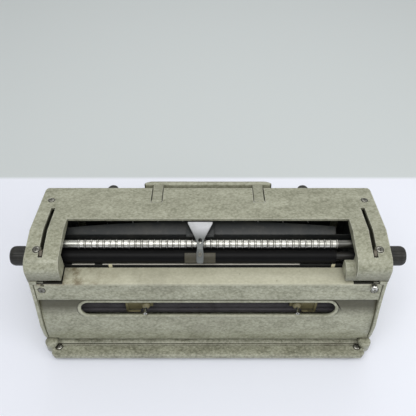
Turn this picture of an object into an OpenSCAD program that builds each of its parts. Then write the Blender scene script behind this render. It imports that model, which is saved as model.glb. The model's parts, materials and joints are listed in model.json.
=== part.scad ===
// Manual braille writer: keys at the front (-Y), paper side at the rear (+Y), +X to the user's right.
// The origin is on the table under the middle of the machine.

/* [Casing] */
// Width of the casing over its sides
body_w = 356; // [350:0.5:362]
// Front wall, in front of the origin
front_reach = 57; // [56:0.25:60]
// Rear end of the cheeks, behind the origin
cheek_reach = 86.5; // [86:0.25:88]
// Height of the crest of the top cover
crest_h = 142.5; // [140:0.25:145]
// Distance from the crest back to the rear end of the cheeks
crest_run = 42; // [39:0.25:44]
// Front edge of the top cover, in front of the origin
cover_front = 29.7; // [28:0.25:30]
// Radius of the top cover's front corners, seen from above
cover_corner_r = 8; // [6:0.5:10]
// Fall of the top cover from its crest to its front edge
front_drop = 14; // [12:0.25:14.5]
// Fall of the cheeks from the crest to their rear ends
cheek_drop = 3.5; // [2.5:0.25:4]
// Depth of the cheeks' lower lip below the feed shaft
lip_drop = 2; // [1.5:0.25:2.5]
// Run of the rear panel behind the cheeks, from top to foot
cove_run = 12; // [10.5:0.25:13]
// Wall of the top cover
cover_wall = 3; // [2.5:0.1:3.2]
// Wall of the front and rear panels
panel_wall = 2.5; // [2:0.1:3]
// Plate of the side frames
frame_wall = 5; // [4:0.1:5.5]
// Width of a cheek beside the paper opening
cheek_w = 33.5; // [33:0.5:35]
// Length of the paper opening, from its front rim to the rear
opening_l = 59.5; // [58:0.5:61]
// Width of the lever slots in the cover
lever_slot_w = 4.4; // [4:0.1:5]

/* [Rear panel] */
// Depth of the top strip below the feed shaft
strip_drop = 7.5; // [7:0.25:8.5]
// Distance from each end of the margin slot to the side of the casing
slot_inset = 45.5; // [44:0.5:52]
// Height of the margin slot
slot_h = 17; // [15:0.25:17.5]
// Height of the middle of the margin slot above the table
slot_z = 69; // [68:0.25:70]

/* [Base] */
// Thickness of the base plate
base_t = 6; // [5:0.25:7]
// Height of the rubber feet
foot_h = 6; // [5:0.25:7]
// Diameter of the rubber feet
foot_d = 18; // [14:0.5:22]
// Distance from each end of the rear flange to the side of the casing
flange_inset = 7; // [6:0.5:10]
// Reach of the flange behind the rear panel
flange_l = 16; // [14:0.25:18]
// Diameter of the corner lugs
lug_d = 14; // [12:0.5:15]

/* [Handle] */
// Length of the grip bar
grip_l = 142; // [130:1:150]
// Distance between the two handle arms
arm_gap = 110; // [104:1:114]
// Width of a handle arm
arm_w = 11; // [9:0.5:12]
// Thickness of a handle arm
arm_t = 3; // [2.5:0.1:3.2]
// Depth and thickness of the grip bar
grip_d = 8.2; // [7.5:0.1:8.4]
// Reach of the handle from its pins to the front of the grip
handle_reach = 39.3; // [39.1:0.1:41]

/* [Rollers] */
// Distance from the feed shaft back to the rear end of the cheeks
feed_run = 29; // [28.5:0.25:29.5]
// Depth of the feed shaft below the crest
feed_drop = 25.5; // [24.5:0.25:26]
// Diameter of the rubber feed roller
rubber_d = 15; // [14.6:0.05:15.1]
// Diameter of the feed shaft
feed_shaft_d = 8; // [6:0.5:9]
// Diameter of the rings on the pressure roller
ring_d = 10; // [9.6:0.05:10.2]
// Diameter of the pressure roller between its rings
groove_d = 8.7; // [8:0.1:9.2]
// Width of one braille cell, which is also the distance between rings
cell = 6.35; // [6:0.05:6.4]
// Diameter of the feed knobs
knob_d = 20; // [18:0.5:22]
// Length of a feed knob
knob_l = 15.5; // [13:0.5:18]

/* [Carriage] */
// Place of the carriage along the line in this pose
head_x = 8; // [-20:1:20]
// Width of the carriage block
block_w = 28; // [25:0.5:29]
// Width of the head plate
head_plate_w = 31; // [26:0.5:32]
// Width of the wide end of the head arm
arm_wide = 25.6; // [22:0.2:27]
// Width of the neck of the head arm
arm_neck = 5.8; // [5:0.1:6.6]
// Diameter of the carriage rail
rail_d = 8; // [6:0.5:9]
// Rocking angle of the head arm, in degrees
head_rock = 6; // [4:0.5:7]

/* [Margin stops] */
// Place of the right-hand margin stop along the line
stop_right_x = 65; // [55:1:80]
// Place of the left-hand margin stop along the line
stop_left_x = -93; // [-100:1:-80]
// Diameter of a stop's domed button
dome_d = 9.2; // [8:0.2:9.6]
// Distance from a stop's button to its pointer
pointer_gap = 20.5; // [18:0.5:22]
// Distance from a stop's button to its upper tab
tab_gap = 34; // [31:0.5:35]

/* [Keys] */
// Distance between neighbouring keys
key_pitch = 30.7; // [30.2:0.1:31]
// Travel of a key cap
key_travel = 6; // [4:0.25:7]
// Width of a dot key cap
cap_w = 22; // [18:0.5:23]
// Length of a dot key cap
cap_l = 26; // [22:0.5:28]
// Height of the top of a dot key cap above the table
cap_h = 44; // [43:0.25:45]
// Width of the space key cap
space_w = 36; // [30:0.5:37]
// Front of the space key, in front of the origin
space_reach = 114.5; // [112:0.25:116]
// Diameter of the two round key caps
round_cap_d = 14; // [12:0.5:16]
// Height of the top of the two round key caps above the table
round_cap_h = 54; // [52:0.5:58]
// Thickness of a key lever
lever_t = 2; // [1.6:0.1:2.4]

/* [Bell] */
// Diameter of the bell gong
gong_d = 44; // [38:0.5:45]

/* [Hidden] */
$fn = 48;
eps = 0.01;
soft_gap = 0.3;        // space between pieces that pass each other
run_gap = 0.05;        // radial clearance of a shaft in its bore
seat_gap = 0.02;       // radial clearance of a pin that stays in its bore

body_half = body_w / 2;
base_top = foot_h + base_t;
cover_front_h = crest_h - front_drop;
cheek_h = crest_h - cheek_drop;
crest_reach = cheek_reach - crest_run;
opening_front = cheek_reach - opening_l;
rear_reach = cheek_reach + cove_run;
feed_y = cheek_reach - feed_run;
feed_z = crest_h - feed_drop;
lip_h = feed_z - lip_drop;
strip_h = feed_z - strip_drop;
skirt_h = lip_h - 2;                       // lower edge of the cover's sides
skirt_t = 2.2;
frame_outer = body_half - 0.2;             // outer face of a side frame below the skirt
tongue_outer = body_half - skirt_t - soft_gap;
tongue_inner = tongue_outer - frame_wall;
opening_half = body_half - cheek_w;

// bearing plates, which stand on the base inside the side frames
plate_in = opening_half + 5.5;
plate_t = 3;
plate_out = plate_in + plate_t;

// margin rail, close behind the rubber roller, then the stops' sheets, then the rear panel's strip
margin_rail_t = 1.2;
stop_sheet = 0.8;
margin_top = feed_z - 5;                   // upper edge of the margin rail
margin_y = feed_y + sqrt(pow(rubber_d / 2 + soft_gap + 0.09, 2) - pow(feed_z - margin_top, 2));
tab_y = margin_y + margin_rail_t + soft_gap;
strip_front = tab_y + stop_sheet + 0.4;

// ringed pressure roller, lying on the rubber roller with room for the paper
paper_room = 0.12;
ring_angle = 123.7;                        // direction of the pressure roller from the feed shaft
roller_gap = (rubber_d + ring_d) / 2 + paper_room;
ring_y = feed_y + roller_gap * cos(ring_angle);
ring_z = feed_z + roller_gap * sin(ring_angle);
ring_journal_d = 5;
ring_taper_l = 6;
rubber_right = plate_in - 3;
rubber_left = plate_in - 21;

// side outline of the casing
apron_h = 62;                              // top of the upright part of the front wall
cove_low = 48;                             // height at which the rear edge of a side frame turns upright
front_wall_y = -front_reach;
cover_front_y = -cover_front;

function bezier(p, q, r, n) = [for (i = [0:n]) let (t = i / n)
    (1 - t) * (1 - t) * p + 2 * t * (1 - t) * q + t * t * r];

function frame_outline(inset) = concat(
    [[front_wall_y + inset, base_top]],
    bezier([front_wall_y + inset, apron_h], [cover_front_y - 6 + inset, apron_h + 10],
           [cover_front_y + inset, skirt_h - 0.3], 10),
    bezier([cheek_reach - inset, skirt_h - 0.3], [cheek_reach + 2.5 - inset, skirt_h - 25],
           [rear_reach - inset, cove_low], 8),
    [[rear_reach - inset, cove_low - 18], [rear_reach - 3 - inset, base_top]]);

cheek_r = 12.8;
function cover_outline(t) = let (r = cheek_r - t, cy = cheek_reach - cheek_r, cz = cheek_h - cheek_r)
    concat([[cover_front_y + t, skirt_h], [cover_front_y + t, cover_front_h - 2.5 - t * 0.9],
            [cover_front_y + 2.5 + t * 0.5, cover_front_h - t],
            [crest_reach, crest_h - t]],
           [for (i = [0:8]) let (a = 90 - 90 * i / 8) [cy + r * cos(a), cz + r * sin(a)]],
           [[cheek_reach - t, skirt_h]]);

module along_x(x0, x1) {
    translate([x0, 0, 0]) rotate([90, 0, 90]) linear_extrude(x1 - x0) children();
}
module rod_x(x0, x1, y, z, d) {
    translate([x0, y, z]) rotate([0, 90, 0]) cylinder(d = d, h = x1 - x0);
}
module rod_y(y0, y1, x, z, d) {
    translate([x, y0, z]) rotate([-90, 0, 0]) cylinder(d = d, h = y1 - y0);
}
module block(x0, x1, y0, y1, z0, z1) {
    translate([x0, y0, z0]) cube([x1 - x0, y1 - y0, z1 - z0]);
}
module both_sides() {
    children();
    mirror([1, 0, 0]) children();
}

// ---- screws --------------------------------------------------------------------------------------
screw_head_d = 7;
screw_head_h = 2;
screw_d = 4;
screw_sink = 1;                            // depth of the counterbores under the screw heads
screw_x = body_half - 10.5;
cover_screw_ys = [cover_front_y + 24.7, cheek_reach - 19.5];
panel_screw_z = strip_h - 11.5;
flange_screw_x = body_half - 14;
flange_screw_y = rear_reach + screw_head_d / 2 + 0.6;

module cross_screw(length) {
    difference() {
        union() {
            cylinder(d = screw_head_d, h = screw_head_h - 0.7);
            translate([0, 0, screw_head_h - 0.7]) cylinder(d1 = screw_head_d, d2 = screw_head_d - 2.4, h = 0.7);
            translate([0, 0, -length]) cylinder(d = screw_d, h = length + eps);
        }
        for (a = [0, 90]) rotate([0, 0, a])
            translate([-screw_head_d * 0.3, -0.45, screw_head_h - 1.2]) cube([screw_head_d * 0.6, 0.9, 2]);
    }
}

// place, tilt and length of each cover screw; the screws stand square to the cover
cover_slope = atan((crest_h - cover_front_h) / (crest_reach + cover_front - 2.5));
module at_cover_screw(i) {
    if (i == 0)
        translate([screw_x, cover_screw_ys[0],
                   cover_front_h + (cover_screw_ys[0] - cover_front_y - 2.5) * tan(cover_slope)])
            rotate([cover_slope, 0, 0]) children();
    else
        translate([screw_x, cover_screw_ys[1],
                   crest_h - (cover_screw_ys[1] - crest_reach) * tan(rear_slope)])
            rotate([-rear_slope, 0, 0]) children();
}
rear_slope = atan((crest_h - cheek_h) / (cheek_reach - cheek_r - crest_reach));

// the rear panel's screws stand square to its upper face
module at_panel_screw() {
    translate([screw_x, panel_screw_seat, panel_screw_z])
        rotate([atan((edge_low[0] - crease[0]) / (crease[1] - edge_low[1])) - 90, 0, 0]) children();
}

// four screws of the cover, two of the rear panel and two of the flange
module casing_screws() {
    color("silver") both_sides() {
        for (i = [0, 1]) at_cover_screw(i) translate([0, 0, -screw_sink]) cross_screw(cover_wall + 4);
        at_panel_screw() translate([0, 0, -screw_sink]) cross_screw(6);
        translate([flange_screw_x, flange_screw_y, base_top - 2]) cross_screw(base_t - 2.6);
    }
}

// ---- casing --------------------------------------------------------------------------------------
handle_y = cover_front_y + 25.7;           // handle pins
handle_z = cover_front_h + (handle_y - cover_front_y - 2.5) * tan(cover_slope) - cover_wall / 2 - 1;
arm_x = arm_gap / 2;
handle_pin_d = 3;
grip_z = -2;                               // the grip hangs a little below the arms
handle_hub_d = arm_t + 2.4;
notch_gap = 0.8;
pin_half = arm_w / 2 + 3.6;                // half the length of a handle pin
module bracket_shape(grow) {
    polygon([[handle_y - 5 - grow, handle_z - 2.6], [handle_y + 5 + grow, handle_z - 2.6],
             [handle_y + 5 + grow, handle_z + 0.9 + grow], [handle_y - 5 - grow, handle_z - 1.1 + grow]]);
}

// upright prism with the top cover's rounded front corners
module plan_shape(inset) {
    r = cover_corner_r - inset;
    front = cover_front_y + inset;
    half = body_half - inset;
    linear_extrude(crest_h + 10) union() {
        translate([-half, front + r]) square([2 * half, rear_reach - front]);
        translate([-half + r, front]) square([2 * (half - r), 2 * r]);
        for (s = [-1, 1]) translate([s * (half - r), front + r]) circle(r = r);
    }
}

module top_cover() {
    color("darkseagreen") difference() {
        union() {
            difference() {
                intersection() {
                    along_x(-body_half, body_half) polygon(cover_outline(0));
                    plan_shape(0);
                }
                intersection() {
                    along_x(-tongue_outer - soft_gap, tongue_outer + soft_gap) polygon(concat(
                        [[cover_front_y + cover_wall, skirt_h - 1]], cover_outline(cover_wall),
                        [[cheek_reach - cover_wall, skirt_h - 1]]));
                    plan_shape(skirt_t);
                }
                // paper opening, open at the rear
                block(-opening_half, opening_half, opening_front, cheek_reach + 1, skirt_h - 1, crest_h + 1);
                // the skirt under the front flange and the cheeks' rear walls end at the lip
                block(-body_half + skirt_t, body_half - skirt_t, cheek_reach - cover_wall - 1,
                      cheek_reach + 1, skirt_h - 1, lip_h);
            }
            // inner walls of the cheeks: short over the rollers, down to the lip behind them
            intersection() {
                along_x(-opening_half - 2.5, opening_half + 2.5) polygon(cover_outline(0));
                both_sides() {
                    block(opening_half, opening_half + 2.5, opening_front, cheek_reach, ring_z + ring_d / 2 + 0.8,
                          crest_h);
                    block(opening_half, opening_half + 2.5, strip_front + 2.5, cheek_reach, lip_h, crest_h);
                }
            }
            // hump inside the left-hand cheek
            intersection() {
                along_x(-opening_half - 1, -opening_half + 9.6) union() {
                    translate([cheek_reach - 11, lip_h + 2]) circle(r = 11);
                    translate([cheek_reach - 22, lip_h]) square([22, 2.5]);
                }
                block(-body_half, 0, strip_front + 3, cheek_reach, lip_h, crest_h);
            }
        }
        // lever slots
        both_sides() block(lever_x - lever_slot_w / 2, lever_x + lever_slot_w / 2, lever_slot_y0, lever_slot_y1,
                           lip_h + 4, crest_h + 1);
        // notches for the handle arms
        both_sides() {
            at_handle() {
                block(arm_x - arm_w / 2 - notch_gap, arm_x + arm_w / 2 + notch_gap, -handle_reach,
                      handle_hub_d / 2 + notch_gap, -arm_t / 2 - notch_gap, crest_h);
                block(arm_x - arm_w / 2 - notch_gap, arm_x + arm_w / 2 + notch_gap, -handle_hub_d,
                      handle_hub_d / 2 + notch_gap, -handle_hub_d, crest_h);
            }
            // room under the cover for the handle's pins and brackets
            rod_x(arm_x - pin_half - soft_gap, arm_x + pin_half + soft_gap, handle_y, handle_z,
                  handle_pin_d + 2 * soft_gap);
            along_x(arm_x - pin_half - soft_gap, arm_x + pin_half + soft_gap) bracket_shape(soft_gap);
        }
        // feed shaft, and the cover's screws
        rod_x(-body_half - 1, -tongue_outer, feed_y, feed_z, feed_shaft_d + 3);
        rod_x(tongue_outer, body_half + 1, feed_y, feed_z, feed_shaft_d + 3);
        both_sides() for (i = [0, 1]) at_cover_screw(i) {
            translate([0, 0, -cover_wall - 4]) cylinder(d = screw_d + 2 * run_gap, h = cover_wall + 6);
            translate([0, 0, -screw_sink]) cylinder(d = screw_head_d + 1, h = screw_sink + 3);
        }
    }
}

module side_frame() {
    difference() {
        union() {
            along_x(tongue_inner, frame_outer) polygon(frame_outline(0));
            intersection() {
                along_x(tongue_inner, tongue_outer) polygon(concat(
                    [[cover_front_y + cover_wall + soft_gap, skirt_h - 4]],
                    cover_outline(cover_wall + soft_gap),
                    [[cheek_reach - cover_wall - soft_gap, skirt_h - 4]]));
                plan_shape(skirt_t + soft_gap);
            }
            // pads for the cover's screws
            for (i = [0, 1]) at_cover_screw(i)
                translate([-3.2, -5, -cover_wall - soft_gap - 7]) cube([screw_room(), 10, 7]);
            // pad for the rear panel's screw
            block(screw_x - 3.2, tongue_inner + eps, rear_wall_in - 9, rear_wall_in, panel_screw_z - 5, strip_h - 1);
        }
        // seats for the rear and front panels
        along_x(screw_x - 4, panel_half + soft_gap) polygon(concat(
            [[rear_reach + 20, base_top - 1]], panel_inner(soft_gap),
            [[strip_front - soft_gap, strip_h + soft_gap], crease + [0, soft_gap],
             [rear_reach + 20, crease[1] + soft_gap]]));
        along_x(tongue_inner - 1, panel_half + soft_gap) polygon(concat(front_panel_inner(soft_gap),
            [[front_wall_y - 20, base_top - 1], [front_wall_y - 20, skirt_h + soft_gap]]));
        // feed shaft, release shaft, and the screws
        rod_x(tongue_inner - 1, body_half + 1, feed_y, feed_z, feed_shaft_d + 2 * run_gap);
        rod_x(tongue_inner - 1, tongue_inner + 3, release_y, release_z, release_shaft_d + 2 * seat_gap);
        for (i = [0, 1]) at_cover_screw(i)
            translate([0, 0, -cover_wall - 6]) cylinder(d = screw_d + 2 * seat_gap, h = cover_wall + 8);
        at_panel_screw() translate([0, 0, -12]) cylinder(d = screw_d + 2 * seat_gap, h = 20);
        rod_y(rear_wall_in - 12, rear_reach, stud_x, stud_z, stud_d + 2 * seat_gap);
        // corner lug of the base
        translate([lug_x, lug_y, 0]) cylinder(d = lug_d + 2 * soft_gap, h = base_top + lug_h + soft_gap);
    }
}
function screw_room() = tongue_inner + 1 - screw_x + 3.2;
module side_frame_right() { color("darkseagreen") side_frame(); }
module side_frame_left() { color("darkseagreen") mirror([1, 0, 0]) side_frame(); }

// rear panel: top strip, crease, upper face, a ledge, and a cove under it that runs out to the base
panel_half = body_half - 3.6;
crease = [cheek_reach - 1, strip_h - 1.5];
edge_low = [cheek_reach + 3, strip_h - 24.5];
ledge = 3;                                 // depth of the step back under the upper face
rear_wall_in = cheek_reach + 1 - panel_wall;
panel_foot = 19;                           // height of the rear panel's lower edge
cove = bezier(edge_low - [ledge, ledge], [rear_reach - 5, 62], [rear_reach - 1.7, 36], 6);
panel_outer = concat([[strip_front, strip_h], crease, edge_low, edge_low + [-0.9, -1.4]], cove,
                     [[rear_reach - 1, panel_foot]]);
// inner side from the foot up, set in by the wall and a clearance
function panel_inner(more) = let (t = panel_wall + more) concat(
    [[rear_reach - 1 - t, panel_foot - more]], [for (i = [6:-1:0]) cove[i] + [-t, 0]],
    [cove[0] + [-t, panel_wall], edge_low + [-t, panel_wall], crease + [-t, -t],
     [strip_front - more, strip_h - t]]);

// the margin slot stands square to the panel's lean there; s runs up along the panel from the slot's middle
slot_lean = 17;
slot_seat = [cheek_reach + 4.2, slot_z];
function slot_point(s, depth) = slot_seat + [-sin(slot_lean) * s - depth, cos(slot_lean) * s];
module slot_shape(grow) {
    half = body_half - slot_inset - slot_h / 2;
    r = slot_h / 2 + grow;
    translate([0, slot_seat[0], slot_seat[1]]) rotate([slot_lean - 90, 0, 0]) linear_extrude(24, center = true) {
        square([2 * half, 2 * r], center = true);
        for (s = [-1, 1]) translate([s * half, 0]) circle(r = r);
    }
}

rim_w = 3.6;                               // raised rim round the margin slot
rim_back = 2.2;                            // depth to which the rim reaches into the wall
module rear_panel() {
    color("darkseagreen") difference() {
        union() {
            along_x(-panel_half, panel_half) polygon(concat(panel_outer, panel_inner(0)));
            intersection() {
                slot_shape(rim_w);
                along_x(-panel_half, panel_half) polygon([for (e = [[1, 0], [-1, 0], [-1, rim_back], [1, rim_back]])
                    slot_point(e[0] * (slot_h / 2 + rim_w + 0.5), e[1])]);
            }
        }
        slot_shape(0);
        both_sides() {
            at_panel_screw() translate([0, 0, -12]) cylinder(d = screw_d + 2 * run_gap, h = 20);
            at_panel_screw() translate([0, 0, -screw_sink]) cylinder(d = screw_head_d + 1, h = 6);
            rod_y(rear_wall_in - 12, rear_reach, stud_x, stud_z, stud_d + 2 * run_gap);
            // under the cheeks the strip is left out, as room for the release levers
            block(opening_half + 4, panel_half + 1, strip_front - 1, crease[0] - panel_wall - 0.6,
                  panel_screw_z, strip_h + 1);
            // corner cut round the base lug
            translate([lug_x, lug_y, 0]) cylinder(d = lug_d + 2, h = base_top + lug_h + 1);
        }
    }
}

panel_screw_seat = cheek_reach - 1 + 3 * (crease[1] - panel_screw_z) / (crease[1] - edge_low[1]);
stud_x = body_half - 12.5;
stud_z = strip_h - 4.3;
stud_d = 4;
stud_head_d = 7.2;
module rear_stud() {
    color("gainsboro") mirror([1, 0, 0]) difference() {
        union() {
            rod_y(rear_wall_in - 3, cheek_reach + 2, stud_x, stud_z, stud_d);
            translate([stud_x, cheek_reach + 1.6, stud_z]) intersection() {
                sphere(d = stud_head_d);
                rod_y(-1.5, stud_head_d, 0, 0, 2 * stud_head_d);
            }
        }
        rod_y(cheek_reach + 3.6, cheek_reach + 12, stud_x, stud_z, stud_head_d / 3);
    }
}

// front panel: upright apron with a slot for each key lever, then a curve up to the cover
function front_panel_outer() = concat([[front_wall_y, base_top + soft_gap]],
    bezier([front_wall_y, apron_h], [cover_front_y - 6, apron_h + 10], [cover_front_y, skirt_h - 0.3], 10));
function front_panel_inner(more) = let (t = panel_wall + more) concat(
    [[cover_front_y + t, skirt_h + more]],
    bezier([cover_front_y + t, skirt_h - 0.3], [cover_front_y - 6 + t, apron_h + 8],
           [front_wall_y + t, apron_h], 10),
    [[front_wall_y + t, base_top - more]]);
module front_panel() {
    color("darkseagreen") difference() {
        along_x(-panel_half, panel_half) polygon(concat(front_panel_outer(),
            bezier([cover_front_y + panel_wall, skirt_h - 0.3], [cover_front_y - 6 + panel_wall, apron_h + 8],
                   [front_wall_y + panel_wall, apron_h], 10),
            [[front_wall_y + panel_wall, base_top + soft_gap]]));
        for (k = key_list) block(k * key_pitch - lever_t / 2 - 1, k * key_pitch + lever_t / 2 + 1,
                                 front_wall_y - 1, front_wall_y + panel_wall + 1,
                                 lever_low(front_wall_y) - key_travel, lever_low(front_wall_y) + lever_h + 3);
    }
}

// ---- base ----------------------------------------------------------------------------------------
lug_x = body_half - lug_d / 2 + 0.8;
lug_y = rear_reach + 1;
lug_h = 8;
foot_xs = [28 - body_half, body_half - 28];
foot_ys = [15 - front_reach, rear_reach - 2.5];
flange_half = body_half - flange_inset;
flange_reach = rear_reach + flange_l;
module base_plate() {
    color("darkseagreen") difference() {
        union() {
            block(-body_half + 1, body_half - 1, front_wall_y, rear_reach - 1, foot_h, base_top);
            difference() {
                block(-flange_half, flange_half, rear_reach - 2, flange_reach, foot_h, base_top);
                both_sides() translate([flange_half, flange_reach, 0]) rotate([0, 0, 45])
                    cube([5, 5, 60], center = true);
                translate([0, flange_reach, base_top]) rotate([45, 0, 0]) cube([body_w, 1.6, 1.6], center = true);
            }
            both_sides() translate([lug_x, lug_y, foot_h]) {
                cylinder(d = lug_d, h = base_top - foot_h + lug_h - 2);
                translate([0, 0, base_top - foot_h + lug_h - 2]) cylinder(d1 = lug_d, d2 = lug_d - 4, h = 2);
            }
        }
        // groove in front of the flange
        block(-flange_half + 2, flange_half - 2, rear_reach + 0.2, flange_screw_y - 0.4, base_top - 3,
              base_top + 1);
        both_sides() {
            translate([flange_screw_x, flange_screw_y, base_top - 2]) cylinder(d = screw_head_d + 2, h = 4);
            translate([flange_screw_x, flange_screw_y, foot_h - 1]) cylinder(d = screw_d + 2 * seat_gap, h = 20);
        }
    }
}
module rubber_feet() {
    color("dimgray") for (x = foot_xs, y = foot_ys) translate([x, y, 0]) {
        cylinder(d1 = foot_d - 3, d2 = foot_d, h = 1.5);
        translate([0, 0, 1.5]) cylinder(d = foot_d, h = foot_h - 1.5);
    }
}

// ---- handle --------------------------------------------------------------------------------------
module at_handle() {
    translate([0, handle_y, handle_z]) rotate([cover_slope, 0, 0]) children();
}
module handle_arms() {
    color("darkseagreen") at_handle() both_sides() difference() {
        union() {
            block(arm_x - arm_w / 2, arm_x + arm_w / 2, -handle_reach + grip_d, 0, -arm_t / 2, arm_t / 2);
            rod_x(arm_x - arm_w / 2, arm_x + arm_w / 2, 0, 0, handle_hub_d);
        }
        rod_x(arm_x - arm_w, arm_x + arm_w, 0, 0, handle_pin_d + 2 * run_gap);
    }
}
module handle_grip() {
    half = grip_l / 2;
    back = -handle_reach + grip_d;
    color("gainsboro") at_handle() intersection() {
        translate([0, 0, grip_z - grip_d / 2]) linear_extrude(grip_d) polygon([
            [-half + 1, back], [-half, back - 1], [-half, back - 3], [-half + 9, -handle_reach],
            [half - 9, -handle_reach], [half, back - 3], [half, back - 1], [half - 1, back]]);
        along_x(-half, half) union() {
            translate([back - grip_d / 2, grip_z]) circle(d = grip_d);
            translate([back - grip_d / 2, grip_z - grip_d / 2]) square([grip_d / 2, grip_d]);
        }
    }
}
module handle_pins() {
    color("silver") both_sides() rod_x(arm_x - pin_half, arm_x + pin_half, handle_y, handle_z, handle_pin_d);
}
// brackets under the cover that hold the handle's pins
module handle_brackets() {
    color("gray") both_sides() difference() {
        for (s = [-1, 1]) along_x(arm_x + s * (arm_w / 2 + 2.7) - 0.9, arm_x + s * (arm_w / 2 + 2.7) + 0.9)
            bracket_shape(0);
        rod_x(0, body_half, handle_y, handle_z, handle_pin_d + 2 * seat_gap);
    }
}

// ---- feed and pressure rollers -------------------------------------------------------------------
module feed_roller() {
    color("black") difference() {
        rod_x(-rubber_left, rubber_right, feed_y, feed_z, rubber_d);
        rod_x(-rubber_left - 1, rubber_right + 1, feed_y, feed_z, feed_shaft_d + 2 * seat_gap);
    }
}
knob_start = body_half + 6;
shaft_end = knob_start + knob_l - 5;
module feed_shaft() {
    color("silver") rod_x(-shaft_end, shaft_end, feed_y, feed_z, feed_shaft_d);
}
module feed_knob() {
    knob_groove = 1.2;
    translate([knob_start, feed_y, feed_z]) rotate([0, 90, 0]) difference() {
        union() {
            translate([0, 0, -3.5]) cylinder(d = feed_shaft_d + 6, h = 4);
            cylinder(d = knob_d, h = knob_l - 2);
            translate([0, 0, knob_l - 2]) cylinder(d1 = knob_d, d2 = knob_d - 4, h = 2);
        }
        translate([0, 0, -4]) cylinder(d = feed_shaft_d + 2 * seat_gap, h = knob_l - 1);
        for (a = [0:30:330]) rotate([0, 0, a]) translate([knob_d / 2 + 0.6, 0, 2])
            cylinder(d = 2 * knob_groove, h = knob_l);
    }
}
module feed_knob_right() { color("dimgray") feed_knob(); }
module feed_knob_left() { color("dimgray") mirror([1, 0, 0]) feed_knob(); }

cells = floor(2 * (plate_in - 19) / cell);
rings_half = cells * cell / 2;
module ringed_roller() {
    plain_d = groove_d + 0.2;
    color("gainsboro") union() {
        rod_x(-rings_half, plate_in - 2, ring_y, ring_z, groove_d);
        rod_x(rings_half + 5, plate_in - 1.5, ring_y, ring_z, plain_d);
        for (i = [0:cells]) rod_x(-rings_half + i * cell - 0.55, -rings_half + i * cell + 0.55, ring_y, ring_z, ring_d);
        translate([-rings_half - ring_taper_l, ring_y, ring_z]) rotate([0, 90, 0])
            cylinder(d1 = ring_journal_d, d2 = groove_d, h = ring_taper_l + eps);
        rod_x(-plate_out - 1, -rings_half - ring_taper_l + eps, ring_y, ring_z, ring_journal_d);
        rod_x(plate_in - 2, plate_out + 1, ring_y, ring_z, ring_journal_d);
    }
}

// ratchet wheel that the line-feed pawl turns one line at a time
ratchet_x = -plate_out - 4.5;
ratchet_t = 3;
ratchet_teeth = 16;
ratchet_r = 10.5;
module feed_ratchet() {
    step = 360 / ratchet_teeth;
    color("goldenrod") difference() {
        union() {
            along_x(ratchet_x, ratchet_x + ratchet_t) translate([feed_y, feed_z]) polygon([
                for (i = [0:ratchet_teeth - 1]) each [
                    [ratchet_r * cos(i * step), ratchet_r * sin(i * step)],
                    [(ratchet_r - 1.8) * cos(i * step + 3), (ratchet_r - 1.8) * sin(i * step + 3)]]]);
            rod_x(ratchet_x, ratchet_x + ratchet_t + 1, feed_y, feed_z, feed_shaft_d + 5);
        }
        rod_x(ratchet_x - 1, ratchet_x + ratchet_t + 3, feed_y, feed_z, feed_shaft_d + 2 * seat_gap);
    }
}
pawl_y = feed_y + 16.5;
pawl_z = feed_z + 7;
pawl_pin_d = 4;
module feed_pawl() {
    tip = [feed_y + ratchet_r * cos(45) + 0.3, feed_z + ratchet_r * sin(45) + 0.3];
    color("silver") difference() {
        along_x(ratchet_x + 0.3, ratchet_x + ratchet_t - 0.3) union() {
            translate([pawl_y, pawl_z]) circle(d = pawl_pin_d + 4);
            polygon([tip, [pawl_y - 1, pawl_z - 3.8], [pawl_y - 1, pawl_z + 3.8], tip + [0.4, 1.6]]);
        }
        rod_x(ratchet_x - 1, ratchet_x + ratchet_t + 1, pawl_y, pawl_z, pawl_pin_d + 2 * run_gap);
    }
}

// ---- bearing plates ------------------------------------------------------------------------------
plate_rim = 5;                             // metal left round what the plates hold
function plate_stem() = margin_rack_y - 8; // rear edge of the plates' lower part
function plate_outline() = [[rack_y - plate_rim, base_top], [rack_y - plate_rim, rail_z], [rail_y + 5, rail_z + 7],
    [feed_y - 17.5, feed_z + 18], [feed_y - 1.5, feed_z + 18.2], [feed_y + 6.9, feed_z + 11],
    [pawl_y + 4, pawl_z + 6], [pawl_y + plate_rim, pawl_z - 6], [strip_front - soft_gap, margin_top + 1],
    [strip_front - soft_gap, margin_low - 2], [margin_rack_y + plate_rim, edge_low[1] - 1],
    [margin_rack_y + plate_rim, guide_bar_low - plate_rim], [plate_stem(), guide_bar_low - 3 * plate_rim],
    [plate_stem(), base_top]];
module bearing_plates() {
    color("gray") union() {
        difference() {
            both_sides() along_x(plate_in, plate_out) polygon(plate_outline());
            rod_x(-body_half, body_half, feed_y, feed_z, feed_shaft_d + 2 * run_gap);
            rod_x(-body_half, body_half, ring_y, ring_z, ring_journal_d + 2 * run_gap);
            rod_x(-body_half, body_half, rail_y, rail_z, rail_d + 2 * seat_gap);
            rod_x(-body_half, body_half, release_y, release_z, release_shaft_d + 2 * seat_gap);
            rod_x(-body_half, body_half, key_y, key_z, key_shaft_d + 2 * seat_gap);
        }
        rod_x(ratchet_x - 1, -plate_in - 1, pawl_y, pawl_z, pawl_pin_d);
    }
}

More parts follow.
